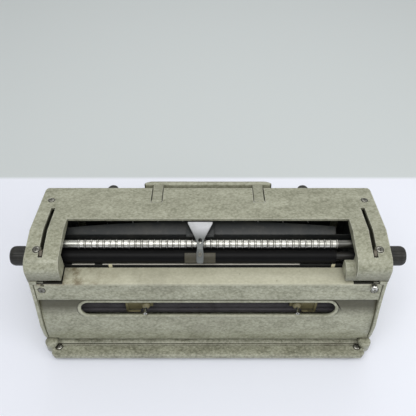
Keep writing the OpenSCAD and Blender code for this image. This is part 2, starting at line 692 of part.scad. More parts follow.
// ---- paper guide and release levers --------------------------------------------------------------
guide_top = [feed_y - 37.2, feed_z + 11];
guide_low = [feed_y - 23, feed_z + 6];
guide_t = 1.2;
guide_arch = 7.2;                          // how far the guide's front edge curves back at its ends
guide_left = plate_in - 17;
module paper_guide() {
    arch = [for (i = [-8:8]) [i / 8 * (plate_in - seat_gap), guide_top[0] + guide_arch * i * i / 64]];
    color("dimgray") union() {
        intersection() {
            along_x(-guide_left, plate_in - seat_gap) polygon([guide_top, guide_low,
                guide_low + [0, -guide_t], guide_top + [0, -guide_t]]);
            linear_extrude(crest_h) polygon(concat(arch,
                [[plate_in, guide_low[0] + 1], [-guide_left + 5, guide_low[0] + 1]]));
        }
        block(-plate_in + seat_gap, plate_in - seat_gap, guide_low[0] - guide_t, guide_low[0], feed_z - 5,
              guide_low[1] - guide_t / 2);
    }
}

lever_x = body_half - 15.5;
lever_plate_t = 2.8;
lever_slot_y0 = feed_y - 49.5;
lever_slot_y1 = feed_y + 18.5;
release_y = feed_y - 15.5;
release_z = feed_z - 25;
release_shaft_d = 6;
release_len = 56.5;
release_rest = 32;                         // lean of a lever towards the rear at rest, in degrees
release_swing = 61;
module release_shaft() {
    color("silver") rod_x(-tongue_inner - 2.5, tongue_inner + 2.5, release_y, release_z, release_shaft_d);
}
module release_lever() {
    shaft_r = norm([feed_y - release_y, feed_z - release_z]);
    arc_half = feed_shaft_d / 2 + 1;
    swing = release_swing + 12;
    along_x(lever_x - lever_plate_t / 2, lever_x + lever_plate_t / 2)
        translate([release_y, release_z]) rotate(-release_rest) difference() {
            union() {
                circle(r = 9);
                translate([-4, 0]) square([8, release_len - 5]);
                polygon([[-4, release_len - 6], [4, release_len - 6], [2.6, release_len], [-2.6, release_len]]);
                // sector that carries the curved slot for the feed shaft
                difference() {
                    circle(r = shaft_r + arc_half + 3.5, $fn = 96);
                    polygon([[-6, 0], [-6 - 4, 90], [-90, 90], [-90, -90], [90, -90],
                             [90 * sin(swing + 10), 90 * cos(swing + 10)], [0, 0]]);
                }
            }
            intersection() {
                difference() {
                    circle(r = shaft_r + arc_half, $fn = 96);
                    circle(r = shaft_r - arc_half, $fn = 96);
                }
                polygon([[0, 0], [-15 * 1.2, 90], [90, 90], [90 * sin(swing), 90 * cos(swing)]]);
            }
            circle(d = release_shaft_d + 2 * run_gap);
        }
}
module release_lever_right() { color("tan") release_lever(); }
module release_lever_left() { color("tan") mirror([1, 0, 0]) release_lever(); }

// ---- carriage ------------------------------------------------------------------------------------
rail_y = feed_y - 54.5;
rail_z = feed_z + 1;
rack_y = rail_y - 16;
rack_z1 = rail_z - 8;
rack_z0 = rack_z1 - 11;
rack_t = 4;
collar_l = 8.5;
module carriage_rail() {
    color("silver") union() {
        rod_x(-plate_out, plate_out, rail_y, rail_z, rail_d);
        // collars that stop the carriage
        both_sides() rod_x(plate_in - collar_l, plate_in - soft_gap, rail_y, rail_z, rail_d + 4);
    }
}
module spacing_rack() {
    color("silver") difference() {
        block(-plate_in + seat_gap, plate_in - seat_gap, rack_y, rack_y + rack_t, rack_z0, rack_z1);
        for (i = [0:cells]) translate([-rings_half + i * cell, rack_y - 1, rack_z1])
            rotate([-90, 0, 0]) linear_extrude(rack_t + 2) polygon([[-1.8, -1], [1.8, -1], [0, 2.6]]);
    }
}

hinge_y = feed_y - 15.5;
hinge_z = feed_z + 15.3;
hinge_d = 2.4;
deck_z0 = hinge_z - 3;                     // the block's tongue under the head arm
deck_z1 = hinge_z - 0.9;
arm_front = opening_front + 2;
rock_pad_y = arm_front + 0.5;
module carriage_block() {
    half = block_w / 2;
    color("dimgray") translate([head_x, 0, 0]) difference() {
        union() {
            along_x(-half, half) polygon([[rail_y - 10.5, rail_z - 11], [rail_y + 14, rail_z - 11],
                [rail_y + 14, deck_z0], [hinge_y + 2, deck_z0], [hinge_y + 2, deck_z1], [rail_y + 17, deck_z1],
                [rail_y + 12.5, deck_z1 - 1.4], [rail_y + 8, rail_z + 9.2], [rail_y - 6, rail_z + 6.6],
                [rail_y - 10.5, rail_z + 5]]);
            // pad that stops the head arm's rocking
            block(-6, 6, rock_pad_y, rock_pad_y + 3, deck_z1 - eps, arm_path[0][1] - arm_sheet - 0.2
                  - (hinge_y - rock_pad_y) * sin(head_rock));
            // foot that follows the rack
            block(-4, 4, rack_y + 0.4, rail_y - 10, rack_z1 + soft_gap, rack_z1 + 4);
            // ears for the head's pin
            for (s = [-1, 1]) along_x(s * 5.6 - 1.2, s * 5.6 + 1.2) union() {
                translate([hinge_y, hinge_z]) circle(d = hinge_d + 1.8);
                translate([hinge_y - 2.1, deck_z0 + 1]) square([4.2, hinge_z - deck_z0 - 1]);
            }
        }
        rod_x(-half - 1, half + 1, rail_y, rail_z, rail_d + 2 * run_gap);
        rod_x(-half, half, hinge_y, hinge_z, hinge_d + 2 * seat_gap);
        rod_x(-4.2, 4.2, hinge_y, hinge_z, hinge_d + 2 + 2 * soft_gap);
    }
}
module head_pin() {
    color("silver") rod_x(head_x - 7, head_x + 7, hinge_y, hinge_z, hinge_d);
}

arm_sheet = 1.6;
jaw_gap = 0.7;                             // between the head plate and the rubber roller
jaw_t = 1.3;
jaw_r = rubber_d / 2 + jaw_gap + jaw_t;
arm_path = [[arm_front, feed_z + 20], [feed_y - 5.5, feed_z + 19.2], [feed_y + 3, feed_z + 15.8],
            [feed_y + jaw_r - 0.8, feed_z + 9], [feed_y + jaw_r + 2.2, feed_z + 2.4]];
module head_arm() {
    n = len(arm_path);
    tip = arm_path[n - 1];
    color("silver") translate([head_x, 0, 0]) difference() {
        union() {
            intersection() {
                along_x(-arm_wide / 2, arm_wide / 2) polygon(concat(
                    [for (i = [0:n - 1]) arm_path[i]],
                    [for (i = [n - 1:-1:0]) arm_path[i] + sheet_normal(i) * arm_sheet]));
                linear_extrude(crest_h + 6) polygon(arm_plan());
            }
            // lug round the hinge pin
            along_x(-3.8, 3.8) difference() {
                union() {
                    translate([hinge_y, hinge_z]) circle(d = hinge_d + 2);
                    translate([hinge_y - 1.6, hinge_z]) square([3.2, 3]);
                }
            }
        }
        rod_x(-10, 10, hinge_y, hinge_z, hinge_d + 2 * run_gap);
        translate([0, feed_y - 4.9, hinge_z - 7]) scale([1, 1.7, 1]) cylinder(d = 3.6, h = 20);
        at_head_screw() translate([0, 0, -6]) cylinder(d = 2.4 + 2 * seat_gap, h = 12);
    }
}
// the sheet lies under its path
function sheet_normal(i) = let (n = len(arm_path), a = arm_path[max(i - 1, 0)], b = arm_path[min(i + 1, n - 1)],
    d = (b - a) / norm(b - a)) [d[1], -d[0]];
function arm_plan() = let (w = arm_wide / 2, k = arm_neck / 2, t = arm_neck / 2 + 0.7)
    concat([for (p = [[w, arm_front - 1], [w - 0.2, arm_front + 2], [5.4, feed_y - 9.5], [k + 0.6, feed_y - 3.5],
                      [k, feed_y + 2.5], [t, feed_y + 6], [t, feed_y + 10], [t - 2, feed_y + 13]]) [-p[0], p[1]]],
           [[t - 2, feed_y + 13], [t, feed_y + 10], [t, feed_y + 6], [k, feed_y + 2.5], [k + 0.6, feed_y - 3.5],
            [5.4, feed_y - 9.5], [w - 0.2, arm_front + 2], [w, arm_front - 1]]);
module at_head_screw() {
    p = (arm_path[2] + arm_path[3]) / 2 + [0.9, -1];
    translate([0, p[0], p[1]]) rotate([-50, 0, 0]) children();
}
head_screw_d = 2.4;
module head_screw() {
    color("silver") translate([head_x, 0, 0]) at_head_screw() difference() {
        union() {
            cylinder(d = 4.4, h = 1.1);
            translate([0, 0, -3]) cylinder(d = head_screw_d, h = 3 + eps);
        }
        translate([0, 0, 0.5]) cylinder(d = 2, h = 2);
    }
}

// head plate: curved jaw over the rear of the rubber roller
module head_plate() {
    inner_r = jaw_r - jaw_t;
    color("tan") translate([head_x, 0, 0]) difference() {
        union() {
            along_x(-head_plate_w / 2, head_plate_w / 2) translate([feed_y, feed_z]) intersection() {
                difference() {
                    circle(r = jaw_r, $fn = 96);
                    circle(r = inner_r, $fn = 96);
                }
                polygon([[0, 0], [40 * cos(72), 40 * sin(72)], [40, 40], [40, 0]]);
            }
            // boss under the arm for the screw
            intersection() {
                at_head_screw() translate([0, 0, -6]) cylinder(d = 5, h = 6 - arm_sheet - 0.05);
                along_x(-4, 4) difference() {
                    translate([feed_y, feed_z]) circle(r = 30);
                    translate([feed_y, feed_z]) circle(r = inner_r, $fn = 96);
                }
            }
        }
        at_head_screw() translate([0, 0, -3]) cylinder(d = head_screw_d + 2 * seat_gap, h = 6);
    }
}

// ---- margin rail and stops -----------------------------------------------------------------------
margin_low = margin_top - 14;
margin_rack_y = rear_wall_in - 7;
margin_rack_t = 3;
margin_rack_z = slot_z - 1;
margin_rack_h = 5;
// heights of the two guide bars below the rack: lower edge and upper edge
guide_bars = [[margin_rack_z - 11.2, margin_rack_z - 6.4], [margin_rack_z - 20.4, margin_rack_z - 16.4]];
guide_bar_low = guide_bars[1][0];
module margin_rail() {
    color("dimgray") block(-plate_in + seat_gap, plate_in - seat_gap, margin_y, margin_y + margin_rail_t,
                           margin_low, margin_top);
}
// toothed rack and the two plain bars that guide the stops
module margin_rack() {
    color("slategray") {
        difference() {
            block(-plate_in + seat_gap, plate_in - seat_gap, margin_rack_y, margin_rack_y + margin_rack_t,
                  margin_rack_z - margin_rack_h / 2, margin_rack_z + margin_rack_h / 2);
            for (i = [0:cells]) translate([-rings_half + i * cell, margin_rack_y + margin_rack_t, 0])
                linear_extrude(crest_h) polygon([[-1.3, 0.5], [1.3, 0.5], [0, -1.2]]);
        }
        for (bar = guide_bars)
            block(-plate_in + seat_gap, plate_in - seat_gap, margin_rack_y, margin_rack_y + margin_rack_t,
                  bar[0], bar[1]);
    }
}
stop_half = 7;
link_z = margin_rack_z + 13;               // the stops' sheets pass over the gong
module margin_stop(side) {
    g = soft_gap;
    top = margin_rack_z + margin_rack_h / 2;
    low = margin_rack_z - margin_rack_h / 2;
    back = margin_rack_y + margin_rack_t;
    foot_z = guide_bars[1][1] + 1.4;
    color("beige") union() {
        // block that rides round the rack
        difference() {
            block(-stop_half, stop_half, margin_rack_y - 2.5, back + 2.3, low - 2.5, top + 2.5);
            block(-stop_half - 1, stop_half + 1, margin_rack_y - g, back + g, low - g, top + g);
        }
        // sheet that rises to the rail, with its tab
        block(min(-stop_half, side * tab_gap - 1.8), max(stop_half, side * tab_gap + 1.8), tab_y, tab_y + stop_sheet,
              link_z - 1, margin_low - 1);
        block(side * tab_gap - 1.8, side * tab_gap + 1.8, tab_y, tab_y + stop_sheet, link_z - 1, margin_top + 1.6);
        block(-stop_half, stop_half, tab_y, margin_rack_y, link_z - 1, link_z);
        block(-stop_half, stop_half, margin_rack_y - 2.5, margin_rack_y - 1.3, top, link_z);
        // pointer plate beside the button, with the pointer's bar and foot at its end
        block(min(side * 5, side * pointer_gap), max(side * 5, side * pointer_gap), back + 0.8, back + 1.8,
              guide_bars[0][0], margin_rack_z + 7);
        block(side * pointer_gap - 1.3, side * pointer_gap + 1.3, back + 0.8, back + 3, foot_z, margin_rack_z + 7.5);
        block(min(side * stop_half, side * pointer_gap), max(side * stop_half, side * pointer_gap),
              back + 0.8, back + 3.5, foot_z, foot_z + 1.3);
        // domed button on its stem, whose end is hollow
        difference() {
            rod_y(back + 1, rear_reach - 3, 0, margin_rack_z, 3.6);
            rod_y(rear_reach - 5, rear_reach, 0, margin_rack_z, 1.8);
        }
        translate([0, back + 3.5, margin_rack_z]) intersection() {
            sphere(d = dome_d);
            rod_y(0, dome_d, 0, 0, dome_d + 1);
        }
    }
}
module margin_stop_right() { translate([stop_right_x, 0, 0]) margin_stop(1); }
module margin_stop_left() { translate([stop_left_x, 0, 0]) margin_stop(-1); }

// ---- bell ----------------------------------------------------------------------------------------
bell_x = 45;
bell_y = 56;
bell_z = 44;
gong_t = 1.2;
post_t = 3;
clapper_x = 15;
clapper_z = 22;
clapper_pin_d = 3;
module bell_post() {
    color("gray") union() {
        block(clapper_x - 5, bell_x + 5, bell_y - post_t, bell_y, base_top, base_top + 8);
        block(bell_x - 4, bell_x + 4, bell_y - post_t, bell_y, base_top, bell_z + 4);
        block(clapper_x - 4, clapper_x + 4, bell_y - post_t, bell_y, base_top, clapper_z + 4);
        rod_y(bell_y - 1, bell_y + 14, bell_x, bell_z, 4);
        rod_y(bell_y - 1, bell_y + 5, clapper_x, clapper_z, clapper_pin_d);
    }
}
module bell_gong() {
    r = gong_d / 2;
    color("silver") translate([bell_x, bell_y + 2, bell_z]) rotate([-90, 0, 0]) difference() {
        rotate_extrude() intersection() {
            difference() {
                scale([1, 0.6]) circle(r = r);
                scale([1, 0.6]) circle(r = r - gong_t);
            }
            square([r + 1, r]);
        }
        cylinder(d = 4 + 2 * seat_gap, h = r);
    }
}
module bell_clapper() {
    ball = 5;
    reach = gong_d / 2 + ball / 2 + 0.8;
    ball_x = bell_x - reach * cos(15);
    ball_z = bell_z - reach * sin(15);
    dx = ball_x - clapper_x;
    dz = ball_z - clapper_z;
    color("goldenrod") difference() {
        union() {
            rod_y(bell_y + 0.5, bell_y + 3, clapper_x, clapper_z, clapper_pin_d + 4);
            translate([clapper_x, bell_y + 1.75, clapper_z]) rotate([0, atan2(dx, dz), 0])
                cylinder(d = 1.8, h = norm([dx, dz]));
            translate([ball_x, bell_y + 2.2, ball_z]) sphere(d = ball);
        }
        rod_y(bell_y, bell_y + 4, clapper_x, clapper_z, clapper_pin_d + 2 * run_gap);
    }
}

// ---- keys ----------------------------------------------------------------------------------------
key_list = [-4, -3, -2, -1, 0, 1, 2, 3, 4];
key_y = 12;
key_z = 62;
key_shaft_d = 6;
hub_r = 6;
lever_h = 8;
bar_y0 = 30;
bar_pitch = 3;
bar_t = 1.5;
bar_z0 = 68;
bar_z1 = 74;
bar_half = plate_in - 4;
cap_front = space_reach - 10.5;            // front of a dot key cap, in front of the origin
round_cap_y = 15 - space_reach;
neck_y = 38.5 - space_reach;               // where a lever levels out under its cap
tongue_z1 = cap_h - 3.5;
tongue_z0 = tongue_z1 - 4;
tongue_t_gap = 0.1;
comb_y = -45;
comb_t = 2.5;
comb_h = 58;

module key_shaft() {
    color("silver") rod_x(-plate_out, plate_out, key_y, key_z, key_shaft_d);
}
spring_l = 5.7;
hub_side = 2;                              // reach of a lever's hub past its sheet
module key_springs() {
    start = lever_t / 2 + hub_side + soft_gap;
    color("silver") for (k = key_list) translate([k * key_pitch, 0, 0]) difference() {
        rod_x(start, start + spring_l, key_y, key_z, key_shaft_d + 3);
        rod_x(start - 1, start + spring_l + 1, key_y, key_z, key_shaft_d + 2 * soft_gap);
    }
}
module key_comb() {
    color("gray") difference() {
        block(-plate_in + seat_gap, plate_in - seat_gap, comb_y, comb_y + comb_t, base_top, comb_h);
        for (k = key_list) block(k * key_pitch - lever_t / 2 - soft_gap, k * key_pitch + lever_t / 2 + soft_gap,
                                 comb_y - 1, comb_y + comb_t + 1, lever_low(comb_y) - key_travel, comb_h + 1);
    }
}

// height of a lever's lower edge on its way down to the cap
function lever_low(y) = tongue_z0 + (key_z - lever_h / 2 - tongue_z0) * (y - neck_y) / (key_y - neck_y);

// side shape of a lever: hub, front arm, tongue under the cap
module lever_side(front) {
    translate([key_y, key_z]) circle(r = hub_r);
    polygon([[key_y, key_z + lever_h / 2], [key_y, key_z - lever_h / 2], [neck_y, tongue_z0],
             [-front, tongue_z0], [-front, tongue_z1], [neck_y - 2, tongue_z1], [neck_y + 4, tongue_z0 + lever_h + 1]]);
}
module key_lever_body(k, front) {
    along_x(k * key_pitch - lever_t / 2, k * key_pitch + lever_t / 2) difference() {
        union() {
            lever_side(front);
            children();
        }
        circle_bore();
    }
    difference() {
        rod_x(k * key_pitch - lever_t / 2 - hub_side, k * key_pitch + lever_t / 2 + hub_side, key_y, key_z,
              2 * hub_r - 2);
        rod_x(k * key_pitch - 10, k * key_pitch + 10, key_y, key_z, key_shaft_d + 2 * run_gap);
    }
}
module circle_bore() {
    translate([key_y, key_z]) circle(d = key_shaft_d + 2 * run_gap);
}
// n counts the embossing bars from the front, 0 to 5
module dot_lever(k, n) {
    bar_y = bar_y0 + n * bar_pitch;
    color("silver") union() {
        key_lever_body(k, cap_front - 3) {
            translate([key_y, key_z - 4]) square([bar_y - key_y + bar_t / 2, 6]);
            translate([bar_y - bar_t / 2, key_z - 4]) square([bar_t, bar_z0 + 1 - key_z + 4]);
        }
        block(-bar_half, bar_half, bar_y - bar_t / 2, bar_y + bar_t / 2, bar_z0, bar_z1);
    }
}
module plain_lever(k, front) {
    color("silver") key_lever_body(k, front)
        translate([key_y, key_z - 4]) square([14, 6]);
}
module round_lever(k) {
    color("silver") key_lever_body(k, -round_cap_y + 2) {
        translate([key_y, key_z - 4]) square([14, 6]);
        translate([round_cap_y - 2, tongue_z0]) square([4, round_cap_h - 6 - tongue_z0]);
    }
}

module tongue_hole(k, front) {
    g = tongue_t_gap;
    block(k * key_pitch - lever_t / 2 - g, k * key_pitch + lever_t / 2 + g, -front - g, neck_y + 8,
          tongue_z0 - 8, tongue_z1 + g);
}
module flat_cap(k, front, length, width) {
    color("dimgray") difference() {
        translate([k * key_pitch, -front + length / 2, cap_h - 7]) hull() for (s = [-1, 1], t = [-1, 1])
            translate([s * (width / 2 - 4), t * (length / 2 - 4), 0]) {
                cylinder(r = 4, h = 5.6, $fn = 32);
                cylinder(r = 2.8, h = 7, $fn = 32);
            }
        translate([k * key_pitch, -front + length / 2, cap_h + 58.8]) rotate([90, 0, 0])
            cylinder(r = 60, h = length - 5, center = true, $fn = 120);
        tongue_hole(k, front - 3);
    }
}
module round_cap(k) {
    g = tongue_t_gap;
    tall = 12;
    low = round_cap_h - tall;
    color("dimgray") translate([k * key_pitch, round_cap_y, 0]) difference() {
        union() {
            translate([0, 0, low]) cylinder(d = round_cap_d, h = tall - 2);
            translate([0, 0, low + tall - 2]) cylinder(d1 = round_cap_d, d2 = round_cap_d - 4, h = 2);
        }
        block(-lever_t / 2 - g, lever_t / 2 + g, -2 - g, 2 + g, low - 1, round_cap_h - 6 + g);
    }
}

// from the user's left: line feed, dots 3, 2 and 1, space, dots 4, 5 and 6, backspace
module lever_line_feed() { round_lever(-4); }
module lever_dot_3() { dot_lever(-3, 0); }
module lever_dot_2() { dot_lever(-2, 1); }
module lever_dot_1() { dot_lever(-1, 2); }
module lever_space() { plain_lever(0, space_reach - 4); }
module lever_dot_4() { dot_lever(1, 3); }
module lever_dot_5() { dot_lever(2, 4); }
module lever_dot_6() { dot_lever(3, 5); }
module lever_backspace() { round_lever(4); }
module cap_line_feed() { round_cap(-4); }
module cap_dot_3() { flat_cap(-3, cap_front, cap_l, cap_w); }
module cap_dot_2() { flat_cap(-2, cap_front, cap_l, cap_w); }
module cap_dot_1() { flat_cap(-1, cap_front, cap_l, cap_w); }
module cap_space() { flat_cap(0, space_reach, cap_l + 4, space_w); }
module cap_dot_4() { flat_cap(1, cap_front, cap_l, cap_w); }
module cap_dot_5() { flat_cap(2, cap_front, cap_l, cap_w); }
module cap_dot_6() { flat_cap(3, cap_front, cap_l, cap_w); }
module cap_backspace() { round_cap(4); }

base_plate();
rubber_feet();
side_frame_right();
side_frame_left();
top_cover();
rear_panel();
front_panel();
casing_screws();
rear_stud();
handle_grip();
handle_arms();
handle_pins();
handle_brackets();
bearing_plates();
feed_roller();
feed_shaft();
feed_knob_right();
feed_knob_left();
ringed_roller();
feed_ratchet();
feed_pawl();
paper_guide();
release_shaft();
release_lever_right();
release_lever_left();
carriage_rail();
spacing_rack();
carriage_block();
head_pin();
head_arm();
head_plate();
head_screw();
margin_rail();
margin_rack();
margin_stop_right();
margin_stop_left();
bell_post();
bell_gong();
bell_clapper();
key_shaft();
key_springs();
key_comb();
lever_line_feed();
lever_dot_3();
lever_dot_2();
lever_dot_1();
lever_space();
lever_dot_4();
lever_dot_5();
lever_dot_6();
lever_backspace();
cap_line_feed();
cap_dot_3();
cap_dot_2();
cap_dot_1();
cap_space();
cap_dot_4();
cap_dot_5();
cap_dot_6();
cap_backspace();
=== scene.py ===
import bpy, bmesh, json, math
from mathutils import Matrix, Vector


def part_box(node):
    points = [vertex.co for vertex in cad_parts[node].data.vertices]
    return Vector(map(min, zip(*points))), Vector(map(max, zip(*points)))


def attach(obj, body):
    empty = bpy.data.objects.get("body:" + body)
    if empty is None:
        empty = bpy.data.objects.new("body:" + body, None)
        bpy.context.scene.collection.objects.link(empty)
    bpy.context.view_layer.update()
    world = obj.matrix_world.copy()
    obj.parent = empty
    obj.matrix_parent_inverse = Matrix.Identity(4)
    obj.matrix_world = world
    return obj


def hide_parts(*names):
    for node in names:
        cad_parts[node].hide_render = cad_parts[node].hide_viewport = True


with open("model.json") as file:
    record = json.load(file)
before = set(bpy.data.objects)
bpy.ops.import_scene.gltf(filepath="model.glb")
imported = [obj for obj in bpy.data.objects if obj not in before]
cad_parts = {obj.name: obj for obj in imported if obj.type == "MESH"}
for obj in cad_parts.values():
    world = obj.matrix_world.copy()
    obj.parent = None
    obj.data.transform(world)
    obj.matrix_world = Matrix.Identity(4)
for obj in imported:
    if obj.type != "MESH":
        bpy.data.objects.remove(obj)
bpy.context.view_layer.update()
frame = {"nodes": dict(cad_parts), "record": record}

scene = bpy.context.scene
nodes = frame["nodes"]
bodyOf = {n: b for b, members in frame["record"]["behaviour"]["bodies"].items() for n in members}
slotOf = {s["node"]: s["material_slot"] for s in frame["record"]["subparts"]}
mm = 0.001


def linear(red, green, blue):
    # from a screen's 0 to 255 to the shader's scale
    shares = [c / 255 for c in (red, green, blue)]
    return tuple(((c + 0.055) / 1.055) ** 2.4 if c > 0.04045 else c / 12.92 for c in shares)


# a socket with the usual operators
class Value:
    def __init__(self, graph, socket):
        self.graph, self.socket = graph, socket

    def maths(self, operation, first, second):
        return self.graph.maths(operation, first, second)

    def __add__(self, other):
        return self.maths("ADD", self, other)

    def __radd__(self, other):
        return self.maths("ADD", other, self)

    def __sub__(self, other):
        return self.maths("SUBTRACT", self, other)

    def __rsub__(self, other):
        return self.maths("SUBTRACT", other, self)

    def __mul__(self, other):
        return self.maths("MULTIPLY", self, other)

    def __rmul__(self, other):
        return self.maths("MULTIPLY", other, self)

    def __truediv__(self, other):
        return self.maths("DIVIDE", self, other)

    def __pow__(self, other):
        return self.maths("POWER", self, other)

    def __lt__(self, other):
        return self.maths("LESS_THAN", self, other)

    def __gt__(self, other):
        return self.maths("GREATER_THAN", self, other)

    def __abs__(self):
        return self.maths("ABSOLUTE", self, 0.0)

    def atLeast(self, other):
        return self.maths("MAXIMUM", self, other)

    def fraction(self):
        return self.maths("FRACT", self, 0.0)

    def cosine(self):
        return self.maths("COSINE", self, 0.0)


class Graph:
    def node(self, kind, settings=None, sockets=None, output=0):
        made = self.tree.nodes.new(kind)
        made.location = (-300 - 190 * (self.count % 7), 300 - 220 * (self.count // 7))
        self.count += 1
        for name, value in (settings or {}).items():
            setattr(made, name, value)
        for name, value in (sockets or {}).items():
            self.feed(made.inputs[name], value)
        return Value(self, made.outputs[output])

    def maths(self, operation, first, second):
        return self.node("ShaderNodeMath", {"operation": operation}, {0: first, 1: second})

    def feed(self, socket, value):
        if isinstance(value, Value):
            self.tree.links.new(value.socket, socket)
        elif isinstance(value, tuple) and len(value) == 3 and socket.type == "RGBA":
            socket.default_value = (*value, 1)
        else:
            socket.default_value = value

    def span(self, value, low, high, fromLow=0.0, fromHigh=1.0):
        return self.node("ShaderNodeMapRange", {"clamp": True}, {"Value": value, "From Min": fromLow,
                         "From Max": fromHigh, "To Min": low, "To Max": high})

    def axis(self, vector, index):
        return self.node("ShaderNodeSeparateXYZ", None, {"Vector": vector}, index)


class Finish(Graph):
    def __init__(self, name, **constants):
        self.material = bpy.data.materials.new(name)
        self.material.use_nodes = True
        self.tree = self.material.node_tree
        self.shader = self.tree.nodes["Principled BSDF"]
        self.count = 0
        for socket, value in constants.items():
            self.shader.inputs[socket.replace("_", " ")].default_value = value

    def place(self, scale=(1, 1, 1)):
        here = self.node("ShaderNodeTexCoord", output="Object")
        return here if scale == (1, 1, 1) else self.node(
            "ShaderNodeMapping", {"vector_type": "POINT"}, {"Vector": here, "Scale": scale})

    def along(self, index):
        return self.axis(self.place(), index)

    def noise(self, scale, detail=3, roughness=0.5, stretch=(1, 1, 1)):
        return self.node("ShaderNodeTexNoise", None, {"Vector": self.place(stretch), "Scale": scale,
                                                      "Detail": detail, "Roughness": roughness})

    def pebbles(self, scale, stretch):
        return self.node("ShaderNodeTexVoronoi", {"feature": "SMOOTH_F1"},
                         {"Vector": self.place(stretch), "Scale": scale}, "Distance")

    def rounded(self, radius):
        # the normal that an edge of this radius would have
        return self.node("ShaderNodeBevel", {"samples": 6}, {"Radius": radius})

    def corners(self, reach):
        # 1 in corners and grooves, 0 in the open
        return 1 - self.node("ShaderNodeAmbientOcclusion", {"samples": 6}, {"Distance": reach}, "AO")

    def blend(self, share, first, second):
        return self.node("ShaderNodeMix", {"data_type": "RGBA"}, {0: share, 6: first, 7: second}, 2)

    def paint(self, **links):
        for name, value in links.items():
            self.feed(self.shader.inputs[name.replace("_", " ")], value)

    def relief(self, height, distance, strength=1.0, edge=0.0):
        sockets = {"Height": height, "Distance": distance, "Strength": strength}
        if edge:
            sockets["Normal"] = self.rounded(edge)
        self.feed(self.shader.inputs["Normal"], self.node("ShaderNodeBump", None, sockets, "Normal"))
        return self.material


# the casing's hammered enamel
enamel = {
    "light": linear(177, 178, 158), "dark": linear(118, 119, 98), "baseDark": linear(92, 92, 74),
    "fleck": linear(184, 185, 168), "edgeHighlight": linear(206, 207, 192), "grimeAndShade": linear(84, 78, 60),
    "pebbles": 400.0, "fine": 1500.0, "drift": 620.0, "broad": 60.0, "stains": 17.0, "specks": 200.0,
    "gloss": 0.30, "depth": 0.07 * mm, "edge": 0.8 * mm, "highlightRadius": 1.3 * mm, "corner": 7 * mm}


def hammeredCoat(f, dark):
    # flakes and fine pebbles under a gloss, with a painted highlight along the edges
    pebble = f.span(f.pebbles(enamel["pebbles"], (0.8, 1, 1)), 1, 0, 0.1, 0.8)
    fine = f.noise(enamel["fine"], 3, 0.6)
    drift = f.noise(enamel["drift"], 4, 0.65, (0.7, 1.1, 1.1))
    broad = f.noise(enamel["broad"], 4, 0.6, (0.6, 1.2, 1.2))
    mottle = f.span(drift * 0.5 + fine * 0.3 + pebble * 0.2, 0, 1, 0.36, 0.64)
    body = f.blend(mottle * 0.8 + f.span(broad, -0.1, 0.25, 0.35, 0.65), dark, enamel["light"])
    body = f.blend(f.span(fine, 0, 0.5, 0.62, 0.75), body, enamel["fleck"])
    # the edges are painted lighter: a painted highlight for the gloss on rounded edges
    flat = f.node("ShaderNodeNewGeometry", output="Normal")
    facing = f.node("ShaderNodeVectorMath", {"operation": "DOT_PRODUCT"},
                    {0: f.rounded(enamel["highlightRadius"]), 1: flat}, "Value")
    body = f.blend(f.span(facing, 0.6, 0, 0.86, 0.995), body, enamel["edgeHighlight"])
    return body, fine, pebble * 0.5 + drift * 0.5


def soiledAndShaded(f, body, stains, amount, spots):
    # broad stains, small specks, and dirt with painted shade in every corner
    body = f.blend(f.span(f.noise(stains, 5, 0.69), 0, amount, 0.53, 0.8), body, enamel["grimeAndShade"])
    body = f.blend(f.span(f.noise(enamel["specks"], 4, 0.75), 0, spots, 0.64, 0.73), body, enamel["grimeAndShade"])
    # darker in corners and grooves by ambient occlusion: painted shade, mixed with dirt
    dirtAndShade = f.span(f.corners(enamel["corner"]), 0, 0.82, 0.34, 0.92)
    return f.blend(dirtAndShade, body, enamel["grimeAndShade"]), dirtAndShade


def glossed(f, body, fine, dirtAndShade, height):
    gloss = f.span(fine, enamel["gloss"] - 0.05, enamel["gloss"] + 0.12)
    f.paint(Base_Color=body, Roughness=gloss + dirtAndShade * 0.2)
    return f.relief(height, enamel["depth"], 1.0, enamel["edge"])


def hammeredEnamel(name, soil, dark):
    f = Finish(name, Specular_IOR_Level=0.5)
    body, fine, height = hammeredCoat(f, dark)
    body, dirtAndShade = soiledAndShaded(f, body, enamel["stains"], soil, 0.5)
    return glossed(f, body, fine, dirtAndShade, height)


cheekDarkening = {"colour": linear(72, 70, 52), "behind": 81 * mm, "low": 113 * mm, "high": 131 * mm,
              "fray": 4 * mm, "amount": 0.8}


def coverEnamel():
    # the rear faces of the cheeks are painted darker towards their lower edge
    f = Finish("cover enamel", Specular_IOR_Level=0.5)
    body, fine, height = hammeredCoat(f, enamel["dark"])
    low = f.span(f.along(2) + fine * cheekDarkening["fray"], cheekDarkening["amount"], 0,
                 cheekDarkening["low"], cheekDarkening["high"])
    body = f.blend((f.along(1) > cheekDarkening["behind"]) * low, body, cheekDarkening["colour"])
    body, dirtAndShade = soiledAndShaded(f, body, enamel["stains"], 0.3, 0.5)
    return glossed(f, body, fine, dirtAndShade, height)


# the rear panel's marks, by height and place on it: stains, painted light and painted shade
panel = {
    "strip": linear(200, 197, 173), "stripFoot": 104.5 * mm, "stripTop": 107 * mm, "stripShare": 0.55,
    "stain": linear(108, 96, 70), "stainFrom": 84 * mm, "stainTo": 132 * mm, "stainSize": 75.0,
    "shade": linear(66, 64, 46), "shadeFoot": 59 * mm, "shadeTop": 73 * mm, "ledge": 84.6 * mm,
    "lipShadow": linear(14, 14, 12), "lipShadowBeyond": 145 * mm, "lipShadowAbove": 107.4 * mm,
    "line": linear(72, 70, 56), "rimShadowWidth": 0.45 * mm}
slotRim = {"middle": 69 * mm, "half": 124 * mm, "radius": 8.5 * mm, "lean": 17.0, "rim": 3.7 * mm}


